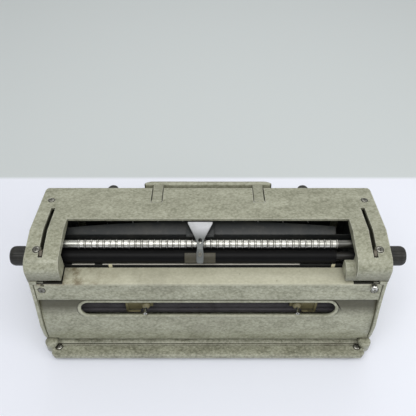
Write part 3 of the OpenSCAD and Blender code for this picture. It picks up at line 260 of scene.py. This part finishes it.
def panelEnamel():
    # warmer, stained and painted lighter along the top strip, painted shade under the ledge, a painted shadow
    # line round the slot's rim, and painted shadow under the cheeks' lips
    f = Finish("stained enamel with painted light and shade", Specular_IOR_Level=0.5)
    x, z = f.along(0), f.along(2)
    body, fine, height = hammeredCoat(f, enamel["dark"])
    # the top strip is warmer in tint and also painted lighter, a painted highlight for the light on its
    # upward face
    strip = f.span(z, 0, 1, panel["stripFoot"], panel["stripTop"])
    body = f.blend(strip * panel["stripShare"], body, panel["strip"])
    blots = f.span(f.noise(panel["stainSize"], 5, 0.75), 0, 0.85, 0.44, 0.64)
    blots = blots * f.span(x, 0, 1, panel["stainFrom"], panel["stainTo"]) * strip
    body = f.blend(blots, body, panel["stain"])
    beyond = (abs(x) - slotRim["half"]).atLeast(0.0)
    up = (z - slotRim["middle"]) / math.cos(math.radians(slotRim["lean"]))
    away = (beyond * beyond + up * up) ** 0.5 - slotRim["radius"]
    shade = f.span(z, 0, 0.92, panel["shadeFoot"], panel["shadeTop"])
    body = f.blend(shade * (z < panel["ledge"]) * (away > slotRim["rim"]), body, panel["shade"])
    # a painted shadow line along the edge of the slot's raised rim
    line = f.span(abs(away - slotRim["rim"]), 0.65, 0, panel["rimShadowWidth"] * 0.5, panel["rimShadowWidth"] * 1.4)
    body = f.blend(line, body, panel["line"])
    body, dirtAndShade = soiledAndShaded(f, body, 15, 0.4, 0.6)
    # painted shadow on the panel under the cheeks' lips
    lipShadow = (abs(x) > panel["lipShadowBeyond"]) * (z > panel["lipShadowAbove"])
    body = f.blend(lipShadow * 0.95, body, panel["lipShadow"])
    return glossed(f, body, fine, dirtAndShade, height)


# paints, metals, rubber and plastic
worn = {"grease": linear(70, 66, 58), "rubber": linear(10, 10, 11), "dust": linear(26, 25, 24),
        "plastic": linear(31, 31, 27), "scuffed": linear(60, 58, 52), "recess": linear(24, 23, 20),
        "chipped": linear(96, 92, 80)}


def satinPaint(name, colour, faded, rough):
    f = Finish(name, Specular_IOR_Level=0.4)
    grain = f.noise(900, 3, 0.6)
    cloud = f.noise(60, 5, 0.7)
    body = f.blend(f.span(cloud, 0, 0.6, 0.42, 0.7), colour, faded)
    body = f.blend(f.span(f.noise(240, 4, 0.7), 0, 0.5, 0.6, 0.72), body, faded)
    f.paint(Base_Color=body, Roughness=f.span(grain, rough - 0.06, rough + 0.1))
    return f.relief(grain, 0.02 * mm, 0.6, 0.3 * mm)


def brushedMetal(name, colour, rough, along, soil, clean=0.5):
    # fine lines drawn out along one axis, clouded and greasy in its corners
    f = Finish(name, Metallic=1.0)
    lines = f.noise(700, 3, 0.6, along)
    cloud = f.noise(55, 5, 0.7)
    dull = tuple(c * (1 - soil) for c in colour)
    body = f.blend(f.span(cloud, 0, 1, clean - 0.08, 0.75), colour, dull)
    body = f.blend(f.span(f.corners(2 * mm), 0, 0.6, 0.4, 0.95), body, worn["grease"])
    sheen = f.span(lines, rough - 0.06, rough + 0.1)
    f.paint(Base_Color=body, Roughness=sheen + f.span(cloud, 0, 0.12, 0.5, 0.8))
    return f.relief(lines, 0.01 * mm, 0.5, 0.25 * mm)


alloy = {"bright": linear(198, 200, 202), "cloudy": linear(160, 162, 160), "neckDarker": linear(84, 88, 84),
         "neckFrom": 37 * mm, "neckTo": 50 * mm}


def castAlloy():
    # the carriage lever: bright over its wide end, duller and darker along its neck
    f = Finish("cast light alloy", Metallic=0.35, Specular_IOR_Level=0.5)
    grain = f.noise(800, 3, 0.6, (2, 0.4, 1))
    body = f.blend(f.span(f.noise(90, 4, 0.6), 0, 0.5, 0.45, 0.7), alloy["bright"], alloy["cloudy"])
    neck = f.span(f.along(1), 0, 1, alloy["neckFrom"], alloy["neckTo"])
    body = f.blend(neck * 0.85, body, alloy["neckDarker"])
    f.paint(Base_Color=body, Roughness=f.span(grain, 0.34, 0.5))
    return f.relief(grain, 0.02 * mm, 0.5, 0.4 * mm)


# the pressure roller: one ring to a braille cell
rings = {"pitch": 6.35 * mm, "half": 130.5 * mm, "width": 1.1 * mm, "rise": 0.65 * mm, "core": 4.35 * mm,
         "foot": 0.62, "top": 0.34, "taper": 6.0 * mm, "tip": 0.58, "steps": 1100, "sides": 28,
         "bright": linear(222, 222, 214), "cloudy": linear(150, 149, 140), "dirtAndShade": linear(44, 42, 38),
         "plainEnd": linear(150, 152, 146), "darkEnd": linear(70, 70, 66)}


def ringedSteel():
    # painted shade with some dirt lies beside every ring, for the shadows of its raised flanks, and both
    # plain ends are duller
    f = Finish("ringed plated steel", Metallic=1.0)
    x = f.along(0)
    off = abs((x / rings["pitch"]).fraction() - 0.5) * rings["pitch"]
    beside = f.span(off, 0, 1, 0.45 * mm, 0.62 * mm) * f.span(off, 1, 0, 1.0 * mm, 1.35 * mm)
    beside = beside * (abs(x) < rings["half"] + 1 * mm)
    cloud = f.noise(90, 5, 0.7)
    body = f.blend(f.span(cloud, 0, 0.8, 0.42, 0.72), rings["bright"], rings["cloudy"])
    # painted shade beside each ring, mixed with grease
    body = f.blend(beside * 0.85, body, rings["dirtAndShade"])
    body = f.blend((x > rings["half"]) * 0.7, body, rings["plainEnd"])
    body = f.blend((x < rings["half"] * -1.0) * 0.85, body, rings["darkEnd"])
    f.paint(Base_Color=body, Roughness=f.span(cloud, 0.2, 0.4) + beside * 0.3)
    return f.relief(cloud, 0.01 * mm, 0.4)


rail = {"edge": 0.32 * mm, "edgeHighlight": ((115 * mm, 138 * mm), (-93 * mm, 107 * mm)),
        "bright": linear(196, 193, 182), "dark": linear(30, 31, 31), "dusty": linear(52, 51, 48)}


def railSteel():
    # only the rail's upper edge is painted bright, in two stretches, as a painted highlight; the dark body
    # stands both for blackened steel and for the shade it lies in
    f = Finish("rail steel", Specular_IOR_Level=0.4)
    x = f.along(0)
    first, second = ((x > low) * (x < high) for low, high in rail["edgeHighlight"])
    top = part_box("margin_rail")[1][2]
    # painted highlight along the upper edge, in two stretches
    bright = (f.along(2) > top - rail["edge"]) * (first + second)
    cloud = f.noise(80, 4, 0.7)
    body = f.blend(f.span(cloud, 0, 0.5, 0.42, 0.7), rail["dark"], rail["dusty"])
    f.paint(Base_Color=f.blend(bright, body, rail["bright"]), Roughness=f.span(cloud, 0.3, 0.45))
    return f.material


def blackRubber():
    f = Finish("black rubber", Specular_IOR_Level=0.12)
    grain = f.noise(1200, 3, 0.7)
    dust = f.span(f.noise(60, 5, 0.7), 0, 0.35, 0.5, 0.8)
    f.paint(Base_Color=f.blend(dust, worn["rubber"], worn["dust"]), Roughness=f.span(grain, 0.34, 0.5))
    return f.relief(grain, 0.02 * mm, 0.5)


def mouldedPlastic():
    f = Finish("dark moulded plastic", Specular_IOR_Level=0.45)
    grain = f.noise(1400, 2, 0.6)
    scuffs = f.span(f.noise(120, 5, 0.7), 0, 0.6, 0.52, 0.75)
    body = f.blend(scuffs, worn["plastic"], worn["scuffed"])
    body = f.blend(f.span(f.corners(1.2 * mm), 0, 0.6, 0.3, 0.8), body, worn["recess"])
    f.paint(Base_Color=body, Roughness=f.span(grain, 0.36, 0.52))
    return f.relief(grain, 0.03 * mm, 0.5, 0.3 * mm)


def chippedEnamel(name, colour, faded):
    f = Finish(name)
    cloud = f.noise(150, 4, 0.65)
    grain = f.noise(1500, 2)
    chips = f.span(f.noise(320, 4, 0.7), 0, 0.8, 0.60, 0.68)
    body = f.blend(f.span(cloud, 0, 0.7, 0.45, 0.75), colour, faded)
    f.paint(Base_Color=f.blend(chips, body, worn["chipped"]), Roughness=f.span(grain, 0.34, 0.5))
    return f.relief(cloud, 0.02 * mm, 0.6, 0.2 * mm)


# one finish for each material slot, and some for single pieces
finishes = {
    "hammertone": hammeredEnamel("hammered enamel", 0.3, enamel["dark"]),
    "stainedLitShadedEnamel": panelEnamel(),
    "coverEnamel": coverEnamel(),
    "baseEnamel": hammeredEnamel("base enamel", 0.4, enamel["baseDark"]),
    "light_alloy": castAlloy(),
    "steel": brushedMetal("machined steel", linear(176, 176, 170), 0.32, (0.15, 4, 4), 0.4),
    "screwSteel": brushedMetal("dull screw steel", linear(158, 157, 148), 0.3, (1, 1, 1), 0.5, 0.42),
    "dark_metal": satinPaint("dark satin metal", linear(40, 43, 43), linear(66, 65, 60), 0.42),
    "rubber": blackRubber(),
    "dark_plastic": mouldedPlastic(),
    "chrome": brushedMetal("plated steel", linear(214, 214, 208), 0.18, (0.1, 5, 5), 0.4),
    "ringed": ringedSteel(),
    "cream_metal": chippedEnamel("cream enamel", linear(218, 213, 180), linear(168, 160, 122)),
    "oliveEnamel": chippedEnamel("olive enamel", linear(116, 110, 80), linear(88, 82, 58)),
    "brass": brushedMetal("dull brass", linear(190, 160, 98), 0.34, (1, 1, 1), 0.4),
    "lever_metal": satinPaint("worn grey metal", linear(104, 97, 84), linear(76, 70, 58), 0.42),
    "brownPlate": satinPaint("brown plate", linear(60, 57, 45), linear(88, 83, 68), 0.4),
    # a plain dark finish for the feed shaft
    "darkShaftSteel": satinPaint("dark shaft steel", linear(36, 36, 35), linear(60, 58, 52), 0.36),
    "rackSteel": satinPaint("dull rack steel", linear(92, 90, 94), linear(60, 58, 58), 0.36),
    "railSteel": railSteel(),
}
print("finishes made:", len(finishes))


def wear(piece, *names):
    piece.data.materials.clear()
    for name in names:
        piece.data.materials.append(finishes[name])
    return piece


special = {"top_cover": "coverEnamel", "rear_panel": "stainedLitShadedEnamel", "base_plate": "baseEnamel",
           "casing_screws": "screwSteel", "head_screw": "screwSteel", "head_plate": "brownPlate",
           "feed_shaft": "darkShaftSteel", "ringed_roller": "ringed", "margin_rail": "railSteel",
           "margin_rack": "rackSteel", "bell_gong": "rackSteel"}
for name, piece in nodes.items():
    wear(piece, special.get(name, slotOf[name]))


def fromMesh(name, mesh):
    piece = bpy.data.objects.new(name, mesh)
    scene.collection.objects.link(piece)
    return piece


def settle(piece, body, slot, *stoodFor):
    if stoodFor:
        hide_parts(*stoodFor)
    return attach(piece, body)


def shadeByAngle(mesh, degrees):
    # smooth shading that breaks at real edges
    for face in mesh.polygons:
        face.use_smooth = True
    work = bmesh.new()
    work.from_mesh(mesh)
    for edge in work.edges:
        edge.smooth = len(edge.link_faces) == 2 and edge.calc_face_angle(0) < math.radians(degrees)
    work.to_mesh(mesh)
    work.free()


def mergedCopy(node):
    work = bmesh.new()
    work.from_mesh(nodes[node].data)
    bmesh.ops.remove_doubles(work, verts=work.verts, dist=0.002 * mm)
    return work


def islands(node):
    # the separate solids of a node, each as its list of faces
    work = mergedCopy(node)
    seen, found = set(), []
    for first in work.faces:
        if first in seen:
            continue
        seen.add(first)
        group = [first]
        for face in group:  # grows as it is walked
            near = [other for edge in face.edges for other in edge.link_faces if other not in seen]
            for other in dict.fromkeys(near):
                seen.add(other)
                group.append(other)
        found.append(group)
    return work, found


def pointsOf(group):
    # its corners, each once
    return [v.co for v in dict.fromkeys(v for face in group for v in face.verts)]


# shapes: a node's own solid with its edges rounded
easing = {"corner": math.radians(28), "flat": math.radians(0.4), "smooth": 36, "shortest": 0.3 * mm,
          "stray": 0.02 * mm, "tries": 4}


def bevelled(node, radius, steps, wider):
    # the edges that a rule in wider picks get its own radius, and the other sharp edges get the plain one
    work = mergedCopy(node)
    bmesh.ops.dissolve_limit(work, angle_limit=easing["flat"], verts=work.verts, edges=work.edges)
    anyEdge = {"pick": lambda edge: edge.calc_length() > easing["shortest"], "radius": radius, "steps": steps}
    for rule in (*wider, anyEdge):
        chosen = [e for e in work.edges if len(e.link_faces) == 2
                  and e.calc_face_angle(0) > easing["corner"] and rule["pick"](e)]
        bmesh.ops.bevel(work, geom=chosen, offset=rule["radius"], offset_type="OFFSET",
                        segments=rule["steps"], profile=0.5, affect="EDGES", clamp_overlap=False,
                        loop_slide=True)
    bmesh.ops.triangulate(work, faces=[f for f in work.faces if len(f.verts) > 4])
    return work


def easedCopy(node, radius, name, steps=2, wider=(), colours=None):
    # a rounding that would leave the node's box is halved, and after four tries the node stays as it is
    low, high = (Vector(c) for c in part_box(node))
    for attempt in range(easing["tries"]):
        work = bevelled(node, radius / 2 ** attempt, steps, wider)
        stray = max(max(v.co[i] - high[i], low[i] - v.co[i]) for v in work.verts for i in range(3))
        if stray < easing["stray"]:
            break
        work.free()
        wider = ()
    else:
        print("kept as it is:", node)
        return nodes[node]
    if attempt:
        print("smaller rounding:", node, attempt)
    mesh = bpy.data.meshes.new(name)
    work.to_mesh(mesh)
    work.free()
    shadeByAngle(mesh, easing["smooth"])
    piece = wear(fromMesh(name, mesh), *(colours or [special.get(node, slotOf[node])]))
    return settle(piece, bodyOf[node], slotOf[node], node)


# the casing
casing = {"edge": 0.9 * mm, "panel": 0.7 * mm, "plate": 0.8 * mm, "frame": 1.0 * mm,
          "side": 3.2 * mm, "sideWall": 177.5 * mm, "sideAbove": 116 * mm,
          "cheek": 1.5 * mm, "cheekWall": 144.5 * mm, "cheekAbove": 113.5 * mm, "cheekBehind": 28 * mm}


def runsAlong(a, b):
    # true for an edge that keeps its distance from the middle of the machine
    return abs(a.x - b.x) < 0.01 * mm


def sideEdge(edge):
    # where the cover's top meets its two sides
    a, b = (v.co for v in edge.verts)
    outside = min(abs(a.x), abs(b.x)) > casing["sideWall"]
    return outside and runsAlong(a, b) and max(a.z, b.z) > casing["sideAbove"]


def cheekEdge(edge):
    # the long edges of the cheeks beside the paper opening
    a, b = (v.co for v in edge.verts)
    beside = abs(abs(a.x) - casing["cheekWall"]) < 0.1 * mm
    onTop = min(a.z, b.z) > casing["cheekAbove"] and min(a.y, b.y) > casing["cheekBehind"]
    return beside and runsAlong(a, b) and onTop


easedCopy("top_cover", casing["edge"], "coverCasting", 3, [
    {"pick": sideEdge, "radius": casing["side"], "steps": 4},
    {"pick": cheekEdge, "radius": casing["cheek"], "steps": 3}])
easedCopy("rear_panel", casing["panel"], "rearPanel", 3)
easedCopy("front_panel", casing["panel"], "frontPanel", 3)
easedCopy("base_plate", casing["plate"], "basePlate", 2)
for side in ("right", "left"):
    easedCopy("side_frame_" + side, casing["frame"], side + "SideFrame", 3)
print("casing made")

# the handle
grip = {"edge": 1.4 * mm, "arm": 0.5 * mm, "hinge": 0.3 * mm}
easedCopy("handle_grip", grip["edge"], "handleBar", 3)
easedCopy("handle_arms", grip["arm"], "handleArms", 2)
easedCopy("handle_brackets", grip["hinge"], "handleHinges", 2)

# the carriage, sheets, feet and stud
trim = {"head_arm": ("carriageLever", 0.5 * mm, 2), "head_plate": ("headPlate", 0.4 * mm, 2),
        "carriage_block": ("carriageBlock", 0.5 * mm, 2), "paper_guide": ("paperGuide", 0.25 * mm, 2),
        "bearing_plates": ("bearingPlates", 0.4 * mm, 2), "margin_rail": ("marginRail", 0.2 * mm, 2),
        "rubber_feet": ("rubberFeet", 0.8 * mm, 3), "rear_stud": ("rearStud", 0.3 * mm, 2)}
for node, (name, edge, steps) in trim.items():
    easedCopy(node, edge, name, steps)

# release levers and keys
levers = {"edge": 0.3 * mm, "cap": 0.9 * mm}
for side in ("right", "left"):
    easedCopy("release_lever_" + side, levers["edge"], side + "ReleaseLever", 2)
for key in [node[4:] for node in nodes if node.startswith("cap_")]:
    easedCopy("cap_" + key, levers["cap"], key + "Cap", 3)
    easedCopy("lever_" + key, levers["edge"], key + "Lever", 1)
print("levers, caps and sheets made")

stops = {"edge": 0.25 * mm, "pointerInset": 1.3 * mm, "pointerHalf": 1.6 * mm, "pointerFront": 81 * mm,
         "domeFoot": 78 * mm, "stemTip": 90.5 * mm, "shoeBack": 78 * mm,
         "colours": ["oliveEnamel", "cream_metal", "chrome", "dark_metal"]}


def stopColour(x, y, z, pointerX):
    # enamelled dome and pointer, a bright stem and a dark shoe on an olive block
    if z > stops["domeFoot"] or abs(x - pointerX) < stops["pointerHalf"] and y > stops["pointerFront"]:
        return 1
    if y > stops["stemTip"]:
        return 2
    return 3 if y < stops["shoeBack"] else 0


for side, outer, inward in (("right", 1, -1), ("left", 0, 1)):
    node = "margin_stop_" + side
    piece = easedCopy(node, stops["edge"], side + "MarginStop", 1, colours=stops["colours"])
    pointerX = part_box(node)[outer][0] + inward * stops["pointerInset"]
    for face in piece.data.polygons:
        face.material_index = stopColour(*face.center, pointerX)
print("stops made")


# geometry-node trees for what repeats
class Recipe(Graph):
    kinds = {float: "NodeSocketFloat", int: "NodeSocketInt", tuple: "NodeSocketVector"}

    def __init__(self, name, sizes):
        self.tree = bpy.data.node_groups.new(name, "GeometryNodeTree")
        self.count = 0
        self.tree.interface.new_socket("Geometry", in_out="INPUT", socket_type="NodeSocketGeometry")
        self.tree.interface.new_socket("Geometry", in_out="OUTPUT", socket_type="NodeSocketGeometry")
        for label, value in sizes.items():
            self.tree.interface.new_socket(label, in_out="INPUT", socket_type=self.kinds[type(value)])
        entry = self.tree.nodes.new("NodeGroupInput")
        self.inputs = {socket.name: Value(self, socket) for socket in entry.outputs if socket.name}
        self.sizes = sizes

    def size(self, label):
        return self.inputs[label]

    def finish(self, shape, material):
        solid = self.node("GeometryNodeRealizeInstances", None, {0: shape})
        dressed = self.node("GeometryNodeSetMaterial", None, {"Geometry": solid, "Material": material})
        end = self.tree.nodes.new("NodeGroupOutput")
        self.tree.links.new(dressed.socket, end.inputs[0])

    def vector(self, x, y, z):
        return self.node("ShaderNodeCombineXYZ", None, {0: x, 1: y, 2: z})

    def block(self, x, y, z):
        return self.node("GeometryNodeMeshCube", None, {"Size": self.vector(x, y, z)})

    def lifted(self, shape, height):
        return self.node("GeometryNodeTransform", None,
                         {"Geometry": shape, "Translation": self.vector(0.0, 0.0, height)})

    def swept(self, path, sides, radius, girth=None):
        # a round tube along a path, with closed ends
        circle = self.node("GeometryNodeCurvePrimitiveCircle", None, {"Resolution": sides, "Radius": radius})
        sockets = {"Curve": path, "Profile Curve": circle, "Fill Caps": True}
        if girth:
            sockets["Scale"] = girth
        return self.node("GeometryNodeCurveToMesh", None, sockets)

    def line(self, start, end, steps):
        path = self.node("GeometryNodeCurvePrimitiveLine", None, {"Start": start, "End": end})
        return self.node("GeometryNodeResampleCurve", None, {"Curve": path, "Count": steps})

    def spread(self, shape):
        # one copy on each seed point, its Z axis along the point's aim
        aim = self.node("GeometryNodeInputNamedAttribute", {"data_type": "FLOAT_VECTOR"}, {"Name": "aim"})
        turn = self.node("FunctionNodeAlignRotationToVector", {"axis": "Z"}, {"Vector": aim})
        return self.node("GeometryNodeInstanceOnPoints", None, {
            "Points": self.size("Geometry"), "Instance": shape, "Rotation": turn})


def grow(name, recipe, angle, points=(), aims=()):
    # runs a tree on its seed points and keeps the result as a plain mesh
    mesh = bpy.data.meshes.new(name + "Seed")
    mesh.from_pydata([tuple(p) for p in points], [], [])
    if aims:
        layer = mesh.attributes.new("aim", "FLOAT_VECTOR", "POINT")
        for i, aim in enumerate(aims):
            layer.data[i].vector = aim
    seed = fromMesh(name + "Seed", mesh)
    modifier = seed.modifiers.new("recipe", "NODES")
    modifier.node_group = recipe.tree
    for item in recipe.tree.interface.items_tree:
        if item.in_out == "INPUT" and item.name in recipe.sizes:
            modifier[item.identifier] = recipe.sizes[item.name]
    made = bpy.data.meshes.new_from_object(seed.evaluated_get(bpy.context.evaluated_depsgraph_get()))
    bpy.data.objects.remove(seed)
    made.name = name
    shadeByAngle(made, angle)
    return fromMesh(name, made)


# cross-head screws, seated where the solids of casing_screws have their heads
seating = {"flat": 0.05 * mm, "rim": 1.5 * mm}


def flatAim(group, points):
    # the direction of the flat end that has the most metal
    flats = {}
    for face in group:
        flats.setdefault(tuple(round(c, 2) for c in face.normal), []).append(face)
    best, aim = 0, None
    for faces in flats.values():
        way = sum((face.normal * face.calc_area() for face in faces), Vector()).normalized()
        top = max(p.dot(way) for p in points)
        ends = [face for face in faces if abs(face.calc_center_median().dot(way) - top) < seating["flat"]]
        area = sum(face.calc_area() for face in ends)
        if area > best:
            best, aim = area, way
    return aim


def screwEnd(points, aim):
    # the middle of one end, its outward aim and its radius
    top = max(p.dot(aim) for p in points)
    rim = [p + aim * (top - p.dot(aim)) for p in points if top - p.dot(aim) < seating["rim"]]
    middle = sum(rim, Vector()) / len(rim)
    return middle, aim, max((p - middle).length for p in rim)


work, groups = islands("casing_screws")
seats = []
for group in groups:
    points = pointsOf(group)
    aim = flatAim(group, points)
    seats.append(max((screwEnd(points, aim), screwEnd(points, -aim)), key=lambda end: end[2]))
work.free()
screw = {"Head Radius": max(radius for middle, aim, radius in seats), "Head Rise": 1.0 * mm,
         "Slot Length": 4.2 * mm, "Slot Width": 0.85 * mm, "Slot Depth": 1.1 * mm}
recipe = Recipe("cross screws", screw)
width, deep = recipe.size("Head Radius"), recipe.size("Head Rise")
ball = recipe.node("GeometryNodeMeshUVSphere", None, {"Segments": 32, "Rings": 16, "Radius": 1.0})
dome = recipe.node("GeometryNodeTransform", None,
                   {"Geometry": ball, "Scale": recipe.vector(width, width, deep)})
dome = recipe.lifted(dome, deep * -1.0)
long, wide, cut = recipe.size("Slot Length"), recipe.size("Slot Width"), recipe.size("Slot Depth") * 2.0
for x, y in ((long, wide), (wide, long)):
    dome = recipe.node("GeometryNodeMeshBoolean", {"operation": "DIFFERENCE"},
                       {"Mesh 1": dome, "Mesh 2": recipe.block(x, y, cut)})
recipe.finish(recipe.spread(dome), finishes["screwSteel"])
heads = grow("crossScrews", recipe, 40, [seat[0] for seat in seats], [seat[1] for seat in seats])
settle(heads, "casing", "steel", "casing_screws")
print("screws made:", len(seats))

# the ringed pressure roller, a tube whose girth rises at every cell
low, high = (Vector(c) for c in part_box("ringed_roller"))
middle = (low + high) / 2
roller = {"Start": (low.x, middle.y, middle.z), "End": (high.x, middle.y, middle.z), "Steps": rings["steps"],
          "Sides": rings["sides"], "Core": rings["core"], "Rise": rings["rise"], "Pitch": rings["pitch"],
          "Half": rings["half"], "Ring Foot": rings["width"] * rings["foot"],
          "Ring Top": rings["width"] * rings["top"], "Taper": rings["taper"], "Tip": rings["tip"]}
recipe = Recipe("ringed roller", roller)
path = recipe.line(recipe.size("Start"), recipe.size("End"), recipe.size("Steps"))
x = recipe.axis(recipe.node("GeometryNodeInputPosition"), 0)
off = abs((x / recipe.size("Pitch")).fraction() - 0.5) * recipe.size("Pitch")
ring = recipe.node("ShaderNodeMapRange", {"clamp": True, "interpolation_type": "SMOOTHSTEP"}, {
    "Value": off, "From Min": recipe.size("Ring Foot"), "From Max": recipe.size("Ring Top")})
ring = ring * (abs(x) < recipe.size("Half"))
tip = recipe.axis(recipe.size("Start"), 0)
taper = recipe.span(x, recipe.size("Tip"), 1.0, tip, tip + recipe.size("Taper"))
girth = (recipe.size("Core") + recipe.size("Rise") * ring) * taper
recipe.finish(recipe.swept(path, recipe.size("Sides"), 1.0, girth), finishes["ringed"])
settle(grow("ringedRoller", recipe, 35), "pressure", "chrome", "ringed_roller")
print("ringed roller made")

# both fluted feed knobs, each from its inner end outwards
knobEnds = []
for side, inner in (("right", 0), ("left", 1)):
    ends = [Vector(c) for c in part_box("feed_knob_" + side)]
    middle = (ends[0] + ends[1]) / 2
    knobEnds.append((ends[inner].x, middle.y, middle.z))
across = ends[1] - ends[0]
knob = {"Length": across.x, "Radius": across.y / 2, "Round": 5.5 * mm, "Face": 0.62, "Neck": 0.93,
        "Neck Length": 1.2 * mm, "Flutes": 24.0, "Flute Depth": 0.35 * mm, "Flute Start": 1.5 * mm,
        "Flute End": 2.5 * mm, "Steps": 40, "Sides": 144}
recipe = Recipe("feed knobs", knob)
path = recipe.line((0, 0, 0), recipe.vector(0.0, 0.0, recipe.size("Length")), recipe.size("Steps"))
z = recipe.axis(recipe.node("GeometryNodeInputPosition"), 2)
into = recipe.span(z, 0, 1, recipe.size("Length") - recipe.size("Round"), recipe.size("Length"))
drop = 1 - (1 - into * into) ** 0.5
neck = recipe.span(z, recipe.size("Neck"), 1.0, 0.0, recipe.size("Neck Length"))
girth = recipe.size("Radius") * (1 - drop * (1 - recipe.size("Face"))) * neck
body = recipe.swept(path, recipe.size("Sides"), 1.0, girth)
here = recipe.node("GeometryNodeInputPosition")
angle = recipe.maths("ARCTAN2", recipe.axis(here, 1), recipe.axis(here, 0))
flute = recipe.span((angle * recipe.size("Flutes")).cosine(), 0, 1, 0.5, 1.0)
flute = flute * recipe.span(recipe.axis(here, 2), 0, 1, recipe.size("Flute Start"), recipe.size("Flute End"))
flat = recipe.node("ShaderNodeVectorMath", {"operation": "MULTIPLY"}, {0: here, 1: (1, 1, 0)})
outward = recipe.node("ShaderNodeVectorMath", {"operation": "NORMALIZE"}, {0: flat})
push = recipe.node("ShaderNodeVectorMath", {"operation": "SCALE"},
                   {0: outward, "Scale": flute * recipe.size("Flute Depth") * -1.0})
body = recipe.node("GeometryNodeSetPosition", None, {"Geometry": body, "Offset": push})
recipe.finish(recipe.spread(body), finishes["dark_plastic"])
knobs = grow("feedKnobs", recipe, 40, knobEnds, [(1, 0, 0), (-1, 0, 0)])
settle(knobs, "feed", "dark_plastic", "feed_knob_right", "feed_knob_left")
print("knobs made")

# one coil in the place of each key spring
work, groups = islands("key_springs")
starts = []
for group in groups:
    points = pointsOf(group)
    low, high = (Vector([end(p[i] for p in points) for i in range(3)]) for end in (min, max))
    middle = (low + high) / 2
    starts.append((low.x, middle.y, middle.z))
work.free()
spring = {"Length": high.x - low.x, "Radius": (high.z - low.z) / 2, "Wire": 0.45 * mm, "Turns": 4.5,
          "Steps": 16, "Sides": 8}
recipe = Recipe("key springs", spring)
wire = recipe.size("Wire")
reach = recipe.size("Radius") - wire
coil = recipe.node("GeometryNodeCurveSpiral", None, {
    "Resolution": recipe.size("Steps"), "Rotations": recipe.size("Turns"), "Start Radius": reach,
    "End Radius": reach, "Height": recipe.size("Length") - wire * 2.0})
coil = recipe.lifted(recipe.swept(coil, recipe.size("Sides"), wire), wire)
recipe.finish(recipe.spread(coil), finishes["steel"])
springs = grow("keySprings", recipe, 60, starts, [(1, 0, 0)] * len(starts))
settle(springs, "casing", "steel", "key_springs")
print("springs made:", len(starts))

# stage: floor, lights, camera
studio = {"floor": linear(238, 241, 250), "back": linear(205, 211, 211), "meet": -172 * mm, "soft": 3 * mm,
          "half": 6.0, "sky": 0.47}
lamps = {
    "overhead": {"place": (0.1, 0.55, 1.25), "aim": (0, 0.0, 0.05), "size": (1.1, 0.8), "power": 8.2},
    "side": {"place": (-1.2, 0.6, 0.9), "aim": (0, 0, 0.08), "size": (0.8, 0.8), "power": 5.4},
    "beyond": {"place": (-0.1, -0.8, 0.95), "aim": (0, 0, 0.1), "size": (1.2, 0.3), "power": 2.6}}
lens = {"place": (0.0, 0.3955, 0.565), "down": 48.0, "focal": 47.6, "sensor": 36}

mesh = bpy.data.meshes.new("floor")
half = studio["half"]
mesh.from_pydata([(-half, -half, 0), (half, -half, 0), (half, half, 0), (-half, half, 0)], [], [(0, 1, 2, 3)])
floor = fromMesh("floor", mesh)
f = Finish("pale floor", Roughness=0.75)
beyond = f.span(f.along(1), 1, 0, studio["meet"] - studio["soft"], studio["meet"] + studio["soft"])
f.paint(Base_Color=f.blend(beyond, studio["floor"], studio["back"]))
floor.data.materials.append(f.material)

world = bpy.data.worlds.new("studio")
world.use_nodes = True
world.node_tree.nodes["Background"].inputs["Color"].default_value = (1.0, 1.0, 1.0, 1)
world.node_tree.nodes["Background"].inputs["Strength"].default_value = studio["sky"]
scene.world = world

for name, lamp in lamps.items():
    data = bpy.data.lights.new(name, "AREA")
    data.shape = "RECTANGLE"
    data.size, data.size_y = lamp["size"]
    data.energy = lamp["power"]
    light = bpy.data.objects.new(name, data)
    light.location = lamp["place"]
    light.rotation_euler = (Vector(lamp["aim"]) - light.location).to_track_quat("-Z", "Y").to_euler()
    scene.collection.objects.link(light)

data = bpy.data.cameras.new("camera")
data.lens, data.sensor_width = lens["focal"], lens["sensor"]
camera = bpy.data.objects.new("camera", data)
camera.location = lens["place"]
lookDown = math.radians(lens["down"])
sight = Vector((0, -math.cos(lookDown), -math.sin(lookDown)))
camera.rotation_euler = sight.to_track_quat("-Z", "Y").to_euler()
scene.collection.objects.link(camera)
scene.camera = camera
scene.view_settings.view_transform = "Standard"
print("stage made")
